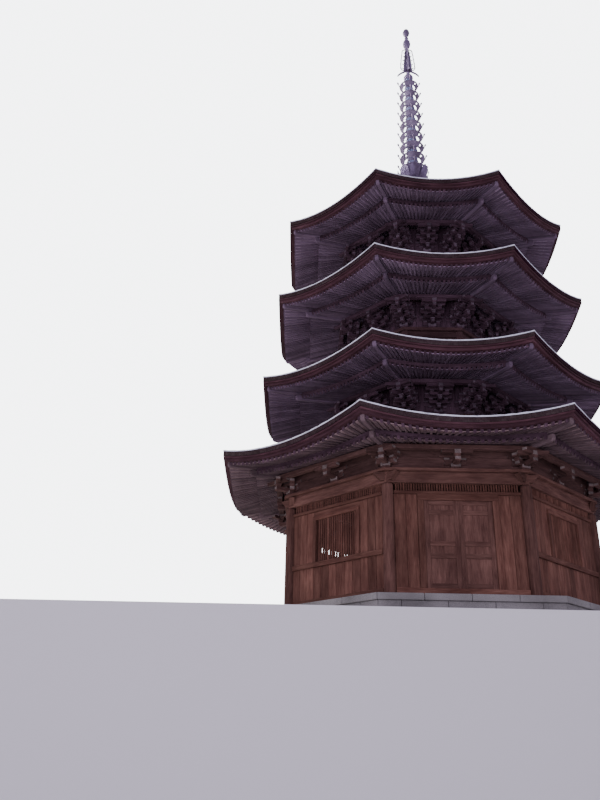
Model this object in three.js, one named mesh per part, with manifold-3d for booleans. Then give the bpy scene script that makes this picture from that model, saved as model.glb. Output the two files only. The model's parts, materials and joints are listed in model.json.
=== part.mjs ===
// Octagonal three-storey timber pagoda with a skirt roof round its ground floor.
// Millimetres, +Z up. The origin is on the ground, on the pagoda's axis; the front side faces -Y.
import * as THREE from "three";
import { mergeVertices } from "three/addons/utils/BufferGeometryUtils.js";
import Module from "manifold-3d";

const wasm = await Module();
wasm.setup();

// The eight sides, named by where they face, counter-clockwise from the front
const SIDES = ["front", "front_right", "right", "back_right", "back", "back_left", "left", "front_left"];
const SIDE_COUNT = SIDES.length;
const SIDE_ANGLE = (2 * Math.PI) / SIDE_COUNT;
const HALF_ANGLE = SIDE_ANGLE / 2;
const HALF_SIDE = Math.tan(HALF_ANGLE); // half a side's length, for an apothem of one
const CORNER = 1 / Math.cos(HALF_ANGLE); // a corner's radius, for an apothem of one
const FRONT = -Math.PI / 2;
const GAP = 0.3; // left between pieces that rest on each other
const JOINED = 10; // how far the pieces of one node run into each other

// Stone plinth and the base stones on it
const PLINTH_APOTHEM = 3950;
const PLINTH_TOP = 300;
const BASE_STONE_HEIGHT = 80;
const KERB_REACH = 90; // half the width of the stone kerb under the walls
const BASE_STONE_SPREAD = 60; // how far a base stone reaches past its post
const BASE_STONE_MARGIN = 10; // what is left round the post on the base stone's top

// Ground floor: the skirt's posts and walls
const SKIRT_APOTHEM = 3200;
const POST_RADIUS = 110;
const POST_BOTTOM = PLINTH_TOP + BASE_STONE_HEIGHT;
const HEAD_BEAM_BOTTOM = 2515;
const HEAD_BEAM_HEIGHT = 220;
const HEAD_BEAM_WIDTH = 150;
const PLATE_THICKNESS = 80;
const SKIRT_PLATE_THICKNESS = 60;
const PLATE_WIDTH = 320;
const SKIRT_PLATE_TOP = HEAD_BEAM_BOTTOM + HEAD_BEAM_HEIGHT + SKIRT_PLATE_THICKNESS;
const NOSE = { length: 270, width: 120, rise: 40, drop: 20 }; // the head beam's end past each post
const SHOULDER = { height: 0.6, radius: 0.82 }; // a post's rounded head, as shares of its radius

const BOARD_THICKNESS = 50;
const RAIL_THICKNESS = 110;
const SILL_HEIGHT = 140;
const TRANSOM_RAIL_BOTTOM = 2300;
const TRANSOM_RAIL_HEIGHT = 60;
const TIE_RAIL_HEIGHT = 100;
const WINDOW = { width: 1100, bottom: 1250, top: 2120, frame: 80 };
const DOORWAY = { width: 1300, top: 2180, frame: 120 };
const LEAF_THICKNESS = 50;
const LEAF_RELIEF = 20; // how deep a leaf's panels are sunk
const LEAF_STILE = 90;
const LEAF_RAILS = [0, 0.36, 0.5, 0.86, 1]; // places of a leaf's rails, as shares of its height

// The inner ring of columns that carries the tower
const CORE_APOTHEM = 1650;
const CORE_COLUMN_RADIUS = 140;
const CORE_TOP = 3700;
const CORE_TIE = { height: 260, width: 200 };

// Skirt roof, with steeper rafters than the roofs above it
const SKIRT_ROOF = {
  eave: { apothem: 4690, top: 3306, lift: 294 },
  inner: { apothem: 1810 + GAP, top: 4340 },
  purlin: { apothem: 3500, top: 3200 }, layerStep: 4000, baseSlope: 0.35,
  boardingRise: 110,
  concavity: 0.08,
};

// The three main storeys. A roof's top and lift are those of its shingled edge at mid side and corner.
const STOREYS = [
  {
    body: 1650, foot: CORE_TOP, skirting: 4400, plateTop: 4630,
    purlin: { apothem: 2200, top: 5240 }, layerStep: 3080, baseSlope: 0.26,
    eave: { apothem: 3930, top: 5280, lift: 250 }, inner: { apothem: 1690 + GAP, top: 6310 }, concavity: 0.09,
  },
  {
    body: 1530, foot: 5390, skirting: 6370, plateTop: 6890,
    purlin: { apothem: 2060, top: 7500 }, layerStep: 2880, baseSlope: 0.26,
    eave: { apothem: 3650, top: 7560, lift: 250 }, inner: { apothem: 1590 + GAP, top: 8530 }, concavity: 0.09,
  },
  {
    body: 1430, foot: 7650, skirting: 8590, plateTop: 9090,
    purlin: { apothem: 1950, top: 9720 }, layerStep: 2700, baseSlope: 0.26,
    eave: { apothem: 3440, top: 9760, lift: 290 }, inner: { apothem: 330, top: 11850 }, concavity: 0.16,
  },
];
const STOREY_COLUMN_RADIUS = 95;
const STOREY_PLATE_WIDTH = 260;
const STOREY_TIE = { height: 150, width: 120 };
const SKIRTING_REACH = 160; // the skirting ring's outer face, past the wall's centre line
const SKIRTING_DEPTH = 300;
const PURLIN_WIDTH = 130;
const PURLIN_HEIGHT = 90;
const BOARDING_THICKNESS = 60; // of the boarded walls of the storeys and behind the brackets
// A bracket arm's outline: its foot on the wall, its first step and its second, as shares of its rise
const ARM = { width: 110, foot: 110, reach: 40, stepAt: 0.5, rises: [0.34, 0.5, 0.74] };

// Eaves: two layers of rafters, the eave beam on their tips and the shingles' thick edge
const SHINGLE_EDGE = 120;
const EAVE_BEAM = { height: 85, width: 130, setback: 60 };
const SHEATHING = 25;
const RAFTER_DEPTH = 85;
const LAYER_RISE = 155; // from the lower layer's underside to the upper one's, where the lower one ends
const LAYER_LAP = 160; // the upper layer runs on this far over the lower one
const HIP_RAFTER = { width: 130, drop: 45 };
const RAFTER_SETBACK = 120; // from the shingles' edge to the rafters' tips
const RAFTER_CLEARANCE = 15; // between the lower rafters' roots and the boarding
const BOARDING_RISE = 150; // the boarding behind the brackets ends this far above the purlin
const EAVE_STEPS = 4; // straight pieces along the curve of one side's eave
const ROOF_STATIONS = [0.36, 0.66]; // shares of a roof's run where its slope changes
const LIFT_FALL = 1.5; // power by which the corner's lift dies out up the roof

// Finial. Outlines are [radius, height above the piece's foot]; each piece stands on the one before it.
const FINIAL_FOOT = 11850;
const FINIAL_BOX = { height: 370, apothem: 370, capApothem: 430, capHeight: 90 };
const BOWL = [[0, GAP], [330, GAP], [313, 135], [231, 250], [132, 300], [0, 300]];
const LOTUS_SEAT = 165; // where the sleeve stands in the lotus
const LOTUS = [[0, GAP], [132, GAP], [262, 120], [440, 440], [390, 440], [175, LOTUS_SEAT], [0, LOTUS_SEAT]];
const RINGS = {
  count: 9, first: 13010, pitch: 405.5, // the rim of the lowest one, and the step to the next
  radii: [375, 285], foot: 0.7, depth: 0.37, // foot and depth are shares of the ring's radius
  thickness: 28,
};
const SPOKE = { width: 45, height: 40, grip: 12 };
const SLEEVE = { radii: [165, 118], above: 242 }; // it ends this far above the topmost ring
const CANOPY = [[0, GAP], [95, GAP], [145, 85], [145, 140], [105, 225], [55, 270], [50, 384], [0, 384]];
const FLAME_FOOT = 16880;
const FLAME_MAST = { radius: 34, height: 980 };
const FLAME_WING = [
  [40, 20], [180, -60], [320, -200], [330, -180], [200, -20], [135, 40], [215, 180], [175, 560], [90, 940],
  [0, 940], [0, 20],
];
const FLAME_THICKNESS = 16;
const JEWELS = [
  [0, GAP], [58, GAP], [105, 178], [95, 280], [42, 400], [32, 520], [74, 580], [105, 690], [84, 790],
  [26, 860], [0, 890],
];

// Straight faces round a turned piece, by its size
const ROUND = { coarse: 8, medium: 12, fine: 16, finest: 20 };
const WELD = 1e-3; // vertices closer than this are one

// Materials, in the colours of weathered red-brown timber, dark shingles, grey stone and bronze
function material(color, roughness, metalness = 0) {
  return new THREE.MeshStandardMaterial({ color, roughness, metalness });
}
const TIMBER = material(0x5a3a30, 0.8);
const BOARDS = material(0x6b4437, 0.85);
const DARK_TIMBER = material(0x3f2b28, 0.85);
const SHINGLES = material(0x4a3730, 0.95);
const STONE = material(0x77726a, 0.95);
const BRONZE = material(0x5b4a63, 0.5, 0.8);

const pagoda = new THREE.Group();

// A closed three.js geometry as a manifold solid, and back
function solidOf(geometry) {
  const bare = new THREE.BufferGeometry();
  const flat = geometry.index ? geometry.toNonIndexed() : geometry;
  bare.setAttribute("position", flat.getAttribute("position"));
  const merged = mergeVertices(bare, WELD);
  const made = new wasm.Mesh({
    numProp: 3,
    vertProperties: merged.attributes.position.array,
    triVerts: new Uint32Array(merged.index.array),
  });
  return new wasm.Manifold(made);
}

function geometryOf(solid) {
  const mesh = solid.getMesh();
  const geometry = new THREE.BufferGeometry();
  geometry.setAttribute("position", new THREE.BufferAttribute(mesh.vertProperties, mesh.numProp));
  geometry.setIndex(new THREE.BufferAttribute(mesh.triVerts, 1));
  return geometry;
}

function fuse(geometries) {
  const solids = geometries.map(solidOf);
  return geometryOf(solids.slice(1).reduce((all, next) => all.add(next), solids[0]));
}

function cut(geometry, tools) {
  return geometryOf(tools.map(solidOf).reduce((left, tool) => left.subtract(tool), solidOf(geometry)));
}

function add(name, geometry, look) {
  const mesh = new THREE.Mesh(geometry, look);
  mesh.name = name;
  pagoda.add(mesh);
}

// The azimuth of a side's outward direction, and of the corner after it
const sideAzimuth = (side) => FRONT + side * SIDE_ANGLE;
const cornerAzimuth = (side) => sideAzimuth(side) + HALF_ANGLE;

// A box on a side: out is from the axis, along is across the side, up is height
function sideBox(side, [out0, out1], [along0, along1], [up0, up1]) {
  const box = new THREE.BoxGeometry(out1 - out0, along1 - along0, up1 - up0);
  box.translate((out0 + out1) / 2, (along0 + along1) / 2, (up0 + up1) / 2);
  return box.rotateZ(sideAzimuth(side));
}

// An upright plate with its outline in the plane of an azimuth, width wide
function radialPlate(azimuth, outline, width) {
  const shape = new THREE.Shape(outline.map(([out, up]) => new THREE.Vector2(out, up)));
  const plate = new THREE.ExtrudeGeometry(shape, { depth: width, bevelEnabled: false });
  plate.rotateX(Math.PI / 2).translate(0, width / 2, 0);
  return plate.rotateZ(azimuth);
}

function octagon(path, apothem) {
  for (let side = 0; side < SIDE_COUNT; side++) {
    const radius = apothem * CORNER;
    const point = [radius * Math.cos(cornerAzimuth(side)), radius * Math.sin(cornerAzimuth(side))];
    if (side) path.lineTo(...point);
    else path.moveTo(...point);
  }
  path.closePath();
  return path;
}

// A level octagonal prism, hollow where an inner apothem is given
function octagonPrism(outer, inner, bottom, top) {
  const shape = octagon(new THREE.Shape(), outer);
  if (inner) shape.holes.push(octagon(new THREE.Path(), inner));
  const prism = new THREE.ExtrudeGeometry(shape, { depth: top - bottom, bevelEnabled: false });
  return prism.translate(0, 0, bottom);
}

// A closed section carried round the octagon, its points [apothem, height at mid side, lift at the corner]
function octagonLoft(section) {
  const area = THREE.ShapeUtils.area(section.map(([out, up]) => new THREE.Vector2(out, up)));
  const positions = [];
  for (let side = 0; side < SIDE_COUNT; side++) {
    for (let step = 0; step < EAVE_STEPS; step++) {
      const across = -1 + (2 * step) / EAVE_STEPS;
      for (const [apothem, height, lift] of section) {
        const along = across * apothem * HALF_SIDE;
        const point = new THREE.Vector3(apothem, along, height + lift * across * across);
        point.applyAxisAngle(new THREE.Vector3(0, 0, 1), sideAzimuth(side));
        positions.push(point.x, point.y, point.z);
      }
    }
  }
  const columns = SIDE_COUNT * EAVE_STEPS;
  const rows = section.length;
  const index = [];
  for (let column = 0; column < columns; column++) {
    for (let row = 0; row < rows; row++) {
      const [here, next] = [column * rows, ((column + 1) % columns) * rows];
      const below = (row + 1) % rows;
      const [a, b, c, d] = [here + row, next + row, next + below, here + below];
      index.push(...(area < 0 ? [a, c, b, a, d, c] : [a, b, c, a, c, d]));
    }
  }
  const geometry = new THREE.BufferGeometry();
  geometry.setAttribute("position", new THREE.Float32BufferAttribute(positions, 3));
  geometry.setIndex(index);
  return geometry;
}

// A round piece from a profile of [radius, height] points
function turned(profile, segments) {
  const points = profile.map(([radius, height]) => new THREE.Vector2(radius, height));
  return new THREE.LatheGeometry(points, segments).rotateX(Math.PI / 2);
}

// The same, from an outline of [radius, height above a foot] points
function turnedOn(foot, outline, segments) {
  return turned(outline.map(([radius, up]) => [radius, foot + up]), segments);
}

// Moves a piece from the axis to a corner of the octagon
function postAt(side, apothem, geometry) {
  const radius = apothem * CORNER;
  const azimuth = cornerAzimuth(side);
  return geometry.translate(radius * Math.cos(azimuth), radius * Math.sin(azimuth), 0);
}

// A round timber post, rounded in at its head as a wrapped column is
function roundPost(radius, bottom, top, segments) {
  const shoulder = top - radius * SHOULDER.height;
  return turned([
    [0, bottom], [radius, bottom], [radius, shoulder], [radius * SHOULDER.radius, top], [0, top],
  ], segments);
}

// Plinth and the base stones under the posts
function buildPlinth() {
  const bed = PLINTH_TOP - JOINED;
  const seat = POST_BOTTOM - GAP;
  const stones = [
    octagonPrism(PLINTH_APOTHEM, 0, 0, PLINTH_TOP),
    octagonPrism(SKIRT_APOTHEM + KERB_REACH, SKIRT_APOTHEM - KERB_REACH, bed, seat),
  ];
  for (let side = 0; side < SIDE_COUNT; side++) {
    for (const [apothem, radius] of [[SKIRT_APOTHEM, POST_RADIUS], [CORE_APOTHEM, CORE_COLUMN_RADIUS]]) {
      const spread = radius + BASE_STONE_SPREAD;
      const stone = turned([
        [0, bed], [spread, bed], [spread, PLINTH_TOP + BASE_STONE_HEIGHT / 2],
        [radius + BASE_STONE_MARGIN, seat], [0, seat],
      ], ROUND.coarse);
      stones.push(postAt(side, apothem, stone));
    }
  }
  add("stone_plinth", fuse(stones), STONE);
}

// Ground floor posts and the walls between them
const BAY = SKIRT_APOTHEM * HALF_SIDE - POST_RADIUS - GAP * 4; // from mid side to the post's face

function wallPanel(side, opening) {
  const board = [SKIRT_APOTHEM - BOARD_THICKNESS / 2, SKIRT_APOTHEM + BOARD_THICKNESS / 2];
  const rail = [SKIRT_APOTHEM - RAIL_THICKNESS / 2, SKIRT_APOTHEM + RAIL_THICKNESS / 2];
  const { width, frame, top } = opening;
  const floor = POST_BOTTOM;
  const bottom = opening.bottom ?? floor + SILL_HEIGHT;
  const bars = [
    sideBox(side, rail, [-BAY, BAY], [floor, floor + SILL_HEIGHT]),
    sideBox(side, rail, [-BAY, BAY], [TRANSOM_RAIL_BOTTOM, TRANSOM_RAIL_BOTTOM + TRANSOM_RAIL_HEIGHT]),
    sideBox(side, board, [-BAY, BAY], [floor + SILL_HEIGHT / 2, TRANSOM_RAIL_BOTTOM + JOINED]),
    sideBox(side, rail, [-width / 2 - frame, width / 2 + frame], [bottom - frame, top + frame]),
  ];
  if (opening.bottom) bars.push(sideBox(side, rail, [-BAY, BAY], [bottom - TIE_RAIL_HEIGHT, bottom]));
  const through = [SKIRT_APOTHEM - RAIL_THICKNESS, SKIRT_APOTHEM + RAIL_THICKNESS];
  const hole = sideBox(side, through, [-width / 2, width / 2], [bottom, top]);
  return cut(fuse(bars), [hole]);
}

function doorLeaf(side, along) {
  const bottom = POST_BOTTOM + SILL_HEIGHT + GAP;
  const top = DOORWAY.top - GAP;
  const face = SKIRT_APOTHEM + LEAF_THICKNESS / 2;
  const leaf = sideBox(side, [SKIRT_APOTHEM - LEAF_THICKNESS / 2, face], along, [bottom, top]);
  const rows = LEAF_RAILS.map((share) => bottom + share * (top - bottom));
  const sunk = [face - LEAF_RELIEF, face + JOINED];
  const across = [along[0] + LEAF_STILE, along[1] - LEAF_STILE];
  const panels = rows.slice(1).map((rowTop, row) => {
    return sideBox(side, sunk, across, [rows[row] + LEAF_STILE / 2, rowTop - LEAF_STILE / 2]);
  });
  return cut(leaf, panels);
}

function buildGroundFloor() {
  for (let side = 0; side < SIDE_COUNT; side++) {
    const post = roundPost(POST_RADIUS, POST_BOTTOM, HEAD_BEAM_BOTTOM - GAP, ROUND.medium);
    add(`skirt_post_${side + 1}`, postAt(side, SKIRT_APOTHEM, post), TIMBER);
  }
  SIDES.forEach((name, side) => add(`wall_${name}`, wallPanel(side, side ? WINDOW : DOORWAY), BOARDS));
  const half = DOORWAY.width / 2 - GAP;
  add("door_leaf_left", doorLeaf(0, [-half, -GAP]), TIMBER);
  add("door_leaf_right", doorLeaf(0, [GAP, half]), TIMBER);

  const halfBeam = HEAD_BEAM_WIDTH / 2;
  const halfPlate = PLATE_WIDTH / 2;
  const beamTop = HEAD_BEAM_BOTTOM + HEAD_BEAM_HEIGHT;
  const ring = [
    octagonPrism(SKIRT_APOTHEM + halfBeam, SKIRT_APOTHEM - halfBeam, HEAD_BEAM_BOTTOM, beamTop + JOINED),
    octagonPrism(SKIRT_APOTHEM + halfPlate, SKIRT_APOTHEM - halfPlate, beamTop, SKIRT_PLATE_TOP),
  ];
  const end = SKIRT_APOTHEM * HALF_SIDE;
  const halfNose = NOSE.width / 2;
  for (let side = 0; side < SIDE_COUNT; side++) {
    for (const hand of [-1, 1]) {
      const reach = [hand * (end - halfNose), hand * (end + NOSE.length)].sort((p, q) => p - q);
      ring.push(sideBox(side, [SKIRT_APOTHEM - halfNose, SKIRT_APOTHEM + halfNose], reach,
        [HEAD_BEAM_BOTTOM + NOSE.rise, beamTop - NOSE.drop]));
    }
  }
  add("skirt_head_ring", fuse(ring), TIMBER);
}

// One bracket set: an arm that steps out from the wall to carry the purlin
function bracketArm(azimuth, wallOut, purlinOut, bottom, top) {
  const middle = THREE.MathUtils.lerp(wallOut, purlinOut, ARM.stepAt);
  const [low, half, high] = ARM.rises.map((share) => THREE.MathUtils.lerp(bottom, top, share));
  const end = purlinOut + ARM.reach;
  return radialPlate(azimuth, [
    [wallOut, bottom], [wallOut + ARM.foot, bottom], [middle, low], [middle, half], [end, high], [end, top],
    [wallOut, top],
  ], ARM.width);
}

// Bracket sets at the corners and at mid side, with the boarding behind them and the purlin they carry
function bracketRing(body, purlin, bottom, top) {
  const purlinBottom = purlin.top - PURLIN_HEIGHT;
  const halfPurlin = PURLIN_WIDTH / 2;
  const halfBoarding = BOARDING_THICKNESS / 2;
  const low = bottom + GAP;
  const pieces = [
    octagonPrism(body + halfBoarding, body - halfBoarding, low, top),
    octagonPrism(purlin.apothem + halfPurlin, purlin.apothem - halfPurlin, purlinBottom, purlin.top - GAP),
  ];
  for (let side = 0; side < SIDE_COUNT; side++) {
    pieces.push(bracketArm(sideAzimuth(side), body, purlin.apothem, low, purlinBottom + JOINED));
    const [corner, purlinCorner] = [body * CORNER, purlin.apothem * CORNER];
    pieces.push(bracketArm(cornerAzimuth(side), corner, purlinCorner, low, purlinBottom + JOINED));
  }
  return fuse(pieces);
}

// A roof's upper surface, from eave to top: [apothem, height at mid side, lift at the corner]
function roofSurface({ eave, inner, concavity }) {
  const run = eave.apothem - inner.apothem;
  const overBeam = (EAVE_BEAM.setback + EAVE_BEAM.width) / run;
  return [0, overBeam, ...ROOF_STATIONS, 1].map((share) => {
    const sag = concavity * share * (1 - share) * run;
    const height = eave.top + share * (inner.top - eave.top) - sag;
    return [eave.apothem - share * run, height, eave.lift * (1 - share) ** LIFT_FALL];
  });
}

// The same surface one shingle edge lower, with a row of points more over the eave beam's outer face
function roofUnderside(roof) {
  const surface = roofSurface(roof).map(([out, up, lift]) => [out, up - SHINGLE_EDGE, lift]);
  const share = EAVE_BEAM.setback / (EAVE_BEAM.setback + EAVE_BEAM.width);
  const [edge, overBeam, ...rest] = surface;
  const outerFace = edge.map((value, axis) => THREE.MathUtils.lerp(value, overBeam[axis], share));
  return [edge, outerFace, overBeam, ...rest];
}

// A roof shell of even thickness, concave from wall to eave
const roofShell = (roof) => octagonLoft([...roofSurface(roof), ...roofUnderside(roof).reverse()]);

// The upper and the lower layer of rafters, each [tip, root] as [apothem, underside at mid side]
function rafterLayers({ eave, purlin, layerStep, baseSlope }, root) {
  const base = (out) => [out, purlin.top - baseSlope * (out - purlin.apothem - PURLIN_WIDTH / 2)];
  const baseTip = base(layerStep);
  const upperTip = [eave.apothem - RAFTER_SETBACK, eave.top - SHINGLE_EDGE - EAVE_BEAM.height - RAFTER_DEPTH];
  return [[upperTip, [layerStep, baseTip[1] + LAYER_RISE]], [baseTip, base(root)]];
}

// Eaves as one piece: the layers of rafters, the eave beam on their tips and a hip rafter at each corner
function eaves(roof, root) {
  const layers = rafterLayers(roof, root);
  const { apothem, lift } = roof.eave;
  const liftStart = roof.purlin.apothem + PURLIN_WIDTH / 2;
  const liftAt = (out) => (lift * Math.max(0, out - liftStart)) / (apothem - liftStart);
  const [, beamOut, beamIn] = roofUnderside(roof).map(([out, up, raised]) => [out, up - GAP, raised]);
  const [tip, tipUp] = layers[0][0];
  const under = [[beamOut[0], tipUp + RAFTER_DEPTH], [tip, tipUp + RAFTER_DEPTH]];
  const over = [];
  layers.forEach(([outer, inner], index) => {
    const topAt = (out) => {
      const share = (out - inner[0]) / (outer[0] - inner[0]);
      return [out, THREE.MathUtils.lerp(inner[1], outer[1], share) + RAFTER_DEPTH + SHEATHING];
    };
    under.push(outer, inner);
    over.push(topAt(index ? outer[0] - LAYER_LAP : beamIn[0]));
    over.push(topAt(index === layers.length - 1 ? inner[0] : inner[0] - LAYER_LAP));
  });
  const soffit = [...under, ...over.reverse()].map(([out, up]) => [out, up, liftAt(out)]);
  const pieces = [octagonLoft([...soffit, beamIn, beamOut])];

  const heel = [liftStart, roof.purlin.top];
  const at = ([out, up], offset) => [out * CORNER, up + liftAt(out) + offset];
  layers.forEach(([outer, inner], index) => {
    const end = index === layers.length - 1 ? heel : inner;
    const [foot, footUp] = at(end, -HIP_RAFTER.drop);
    const outline = [at(end, 0), [foot + HIP_RAFTER.drop, footUp], at(outer, -HIP_RAFTER.drop)];
    outline.push(at(outer, RAFTER_DEPTH / 2), at(end, RAFTER_DEPTH / 2));
    for (let side = 0; side < SIDE_COUNT; side++) {
      pieces.push(radialPlate(cornerAzimuth(side), outline, HIP_RAFTER.width));
    }
  });
  return fuse(pieces);
}

function buildSkirtRoof() {
  const { purlin, inner, boardingRise } = SKIRT_ROOF;
  const brackets = bracketRing(SKIRT_APOTHEM, purlin, SKIRT_PLATE_TOP, purlin.top + boardingRise);
  add("skirt_brackets", brackets, DARK_TIMBER);
  add("skirt_eaves", eaves(SKIRT_ROOF, inner.apothem), TIMBER);
  add("skirt_roof", roofShell(SKIRT_ROOF), SHINGLES);
}

// One main storey: its framed wall, its brackets, its eaves and its roof
function buildStorey(storey, number) {
  const { body, foot, skirting, plateTop, purlin, inner } = storey;
  const plateBottom = plateTop - PLATE_THICKNESS;
  const skirtingOut = body + SKIRTING_REACH;
  const columnBottom = skirting - JOINED;
  const columnTop = plateBottom + JOINED;
  const ring = (width, bottom, top) => octagonPrism(body + width / 2, body - width / 2, bottom, top);
  const wall = [
    octagonPrism(skirtingOut, skirtingOut - SKIRTING_DEPTH, foot + GAP, skirting),
    ring(BOARDING_THICKNESS, columnBottom, columnTop),
    ring(STOREY_TIE.width, plateBottom - STOREY_TIE.height, columnTop),
    ring(STOREY_PLATE_WIDTH, plateBottom, plateTop),
  ];
  for (let side = 0; side < SIDE_COUNT; side++) {
    const column = new THREE.CylinderGeometry(
      STOREY_COLUMN_RADIUS, STOREY_COLUMN_RADIUS, columnTop - columnBottom, ROUND.coarse,
    );
    column.rotateX(Math.PI / 2).translate(0, 0, (columnBottom + columnTop) / 2);
    wall.push(postAt(side, body, column));
  }
  add(`storey_${number}_wall`, fuse(wall), BOARDS);
  const brackets = bracketRing(body, purlin, plateTop, purlin.top + BOARDING_RISE);
  add(`storey_${number}_brackets`, brackets, DARK_TIMBER);

  const root = Math.max(inner.apothem, body + BOARDING_THICKNESS / 2 + RAFTER_CLEARANCE);
  add(`storey_${number}_eaves`, eaves(storey, root), TIMBER);
  add(`storey_${number}_roof`, roofShell(storey), SHINGLES);
}

function buildCore() {
  const halfTie = CORE_TIE.width / 2;
  const tieBottom = CORE_TOP - CORE_TIE.height;
  const core = [octagonPrism(CORE_APOTHEM + halfTie, CORE_APOTHEM - halfTie, tieBottom, CORE_TOP)];
  for (let side = 0; side < SIDE_COUNT; side++) {
    const column = roundPost(CORE_COLUMN_RADIUS, POST_BOTTOM, CORE_TOP - JOINED, ROUND.coarse);
    core.push(postAt(side, CORE_APOTHEM, column));
  }
  add("core_columns", fuse(core), TIMBER);
}

// The rings' sleeve, and each ring with the spoke that holds it; the spokes turn by a right angle
function sleeveWithRings(seat, top) {
  const [widest, narrowest] = SLEEVE.radii;
  const pieces = [turned([[0, seat], [widest, seat], [narrowest, top], [0, top]], ROUND.medium)];
  for (let ring = 0; ring < RINGS.count; ring++) {
    const radius = THREE.MathUtils.lerp(...RINGS.radii, ring / (RINGS.count - 1));
    const foot = radius * RINGS.foot;
    const high = RINGS.first + ring * RINGS.pitch;
    const low = high - radius * RINGS.depth;
    const [inner, innerFoot] = [radius - RINGS.thickness, foot - RINGS.thickness];
    const section = [[innerFoot, low], [foot, low], [radius, high], [inner, high], [innerFoot, low]];
    pieces.push(turned(section, ROUND.medium));
    const spoke = new THREE.BoxGeometry(2 * foot + SPOKE.grip, SPOKE.width, SPOKE.height);
    pieces.push(spoke.rotateZ((ring * Math.PI) / 2).translate(0, 0, low + SPOKE.height));
  }
  return fuse(pieces);
}

function buildFinial() {
  const boxTop = FINIAL_FOOT + FINIAL_BOX.height;
  const capBottom = boxTop - FINIAL_BOX.capHeight;
  add("finial_box", fuse([
    octagonPrism(FINIAL_BOX.apothem, 0, FINIAL_FOOT + GAP, capBottom + JOINED),
    octagonPrism(FINIAL_BOX.capApothem, 0, capBottom, boxTop),
  ]), BRONZE);
  const heightOf = (outline) => outline[outline.length - 1][1];
  const bowlTop = boxTop + heightOf(BOWL);
  add("finial_bowl", turnedOn(boxTop, BOWL, ROUND.finest), BRONZE);
  add("finial_lotus", turnedOn(bowlTop, LOTUS, ROUND.fine), BRONZE);
  const sleeveTop = RINGS.first + (RINGS.count - 1) * RINGS.pitch + SLEEVE.above;
  add("finial_rings", sleeveWithRings(bowlTop + LOTUS_SEAT + GAP, sleeveTop), BRONZE);
  add("finial_canopy", turnedOn(sleeveTop, CANOPY, ROUND.fine), BRONZE);

  const { radius, height } = FLAME_MAST;
  const mast = [[0, GAP], [radius, GAP], [radius, height], [0, height]];
  const flame = [turnedOn(FLAME_FOOT, mast, ROUND.coarse)];
  const wing = FLAME_WING.map(([out, up]) => [out, FLAME_FOOT + up]);
  for (let quarter = 0; quarter < 4; quarter++) {
    flame.push(radialPlate(FRONT + (quarter * Math.PI) / 2, wing, FLAME_THICKNESS));
  }
  add("finial_flame", fuse(flame), BRONZE);
  add("finial_jewels", turnedOn(FLAME_FOOT + height, JEWELS, ROUND.fine), BRONZE);
}

buildPlinth();
buildGroundFloor();
buildCore();
buildSkirtRoof();
STOREYS.forEach((storey, index) => buildStorey(storey, index + 1));
buildFinial();

export default pagoda;
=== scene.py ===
# Octagonal three-storey timber pagoda with a skirt roof round its ground floor
import json
import math
import random
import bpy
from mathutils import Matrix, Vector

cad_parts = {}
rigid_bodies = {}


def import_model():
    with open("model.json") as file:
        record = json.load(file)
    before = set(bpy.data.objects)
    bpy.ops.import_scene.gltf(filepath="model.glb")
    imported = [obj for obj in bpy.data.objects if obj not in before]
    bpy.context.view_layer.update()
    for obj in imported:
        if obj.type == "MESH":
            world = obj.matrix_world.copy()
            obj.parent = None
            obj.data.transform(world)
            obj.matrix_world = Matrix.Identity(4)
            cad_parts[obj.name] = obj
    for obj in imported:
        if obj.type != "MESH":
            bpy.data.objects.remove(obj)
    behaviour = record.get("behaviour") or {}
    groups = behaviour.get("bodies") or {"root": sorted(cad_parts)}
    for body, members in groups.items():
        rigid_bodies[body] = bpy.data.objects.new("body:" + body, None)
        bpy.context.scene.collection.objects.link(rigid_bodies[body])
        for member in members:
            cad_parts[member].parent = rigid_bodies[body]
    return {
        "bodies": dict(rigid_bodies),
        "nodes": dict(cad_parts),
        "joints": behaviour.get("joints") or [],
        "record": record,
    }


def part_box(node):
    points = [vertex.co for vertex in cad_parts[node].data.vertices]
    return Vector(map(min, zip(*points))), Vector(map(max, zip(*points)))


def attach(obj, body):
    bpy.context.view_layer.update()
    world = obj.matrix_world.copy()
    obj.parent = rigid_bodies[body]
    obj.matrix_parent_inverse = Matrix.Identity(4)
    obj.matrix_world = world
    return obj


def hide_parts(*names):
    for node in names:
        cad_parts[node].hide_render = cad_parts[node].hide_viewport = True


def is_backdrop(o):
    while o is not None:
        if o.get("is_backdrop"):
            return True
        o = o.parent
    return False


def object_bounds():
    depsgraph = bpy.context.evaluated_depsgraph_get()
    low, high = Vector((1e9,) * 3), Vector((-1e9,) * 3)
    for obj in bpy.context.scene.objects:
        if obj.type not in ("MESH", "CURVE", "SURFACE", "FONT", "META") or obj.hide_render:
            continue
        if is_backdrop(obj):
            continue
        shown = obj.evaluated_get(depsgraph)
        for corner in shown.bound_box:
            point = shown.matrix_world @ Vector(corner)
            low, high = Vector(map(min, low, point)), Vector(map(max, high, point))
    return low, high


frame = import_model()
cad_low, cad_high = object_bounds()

from types import SimpleNamespace

import bpy
import numpy as np
from mathutils import Matrix, Vector

# Stage: a plain pale floor at the pagoda's foot, with a lower floor in front of it. The photograph was
# taken from below the pagoda's foot, so the upper floor ends just before the plinth.
PLINTH_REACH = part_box("stone_plinth")[1][0]
UPPER_FLOOR_EDGE = -PLINTH_REACH - 0.35
LOWER_FLOOR_LEVEL = -4.2
FLOOR_REACH = 70.0
FLOOR_PALE = (0.80, 0.80, 0.78)


def select_only(*pieces):
    if bpy.context.object and bpy.context.object.mode != "OBJECT":
        bpy.ops.object.mode_set(mode="OBJECT")
    bpy.ops.object.select_all(action="DESELECT")
    for piece in pieces:
        piece.select_set(True)
    if pieces:
        bpy.context.view_layer.objects.active = pieces[0]


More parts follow.
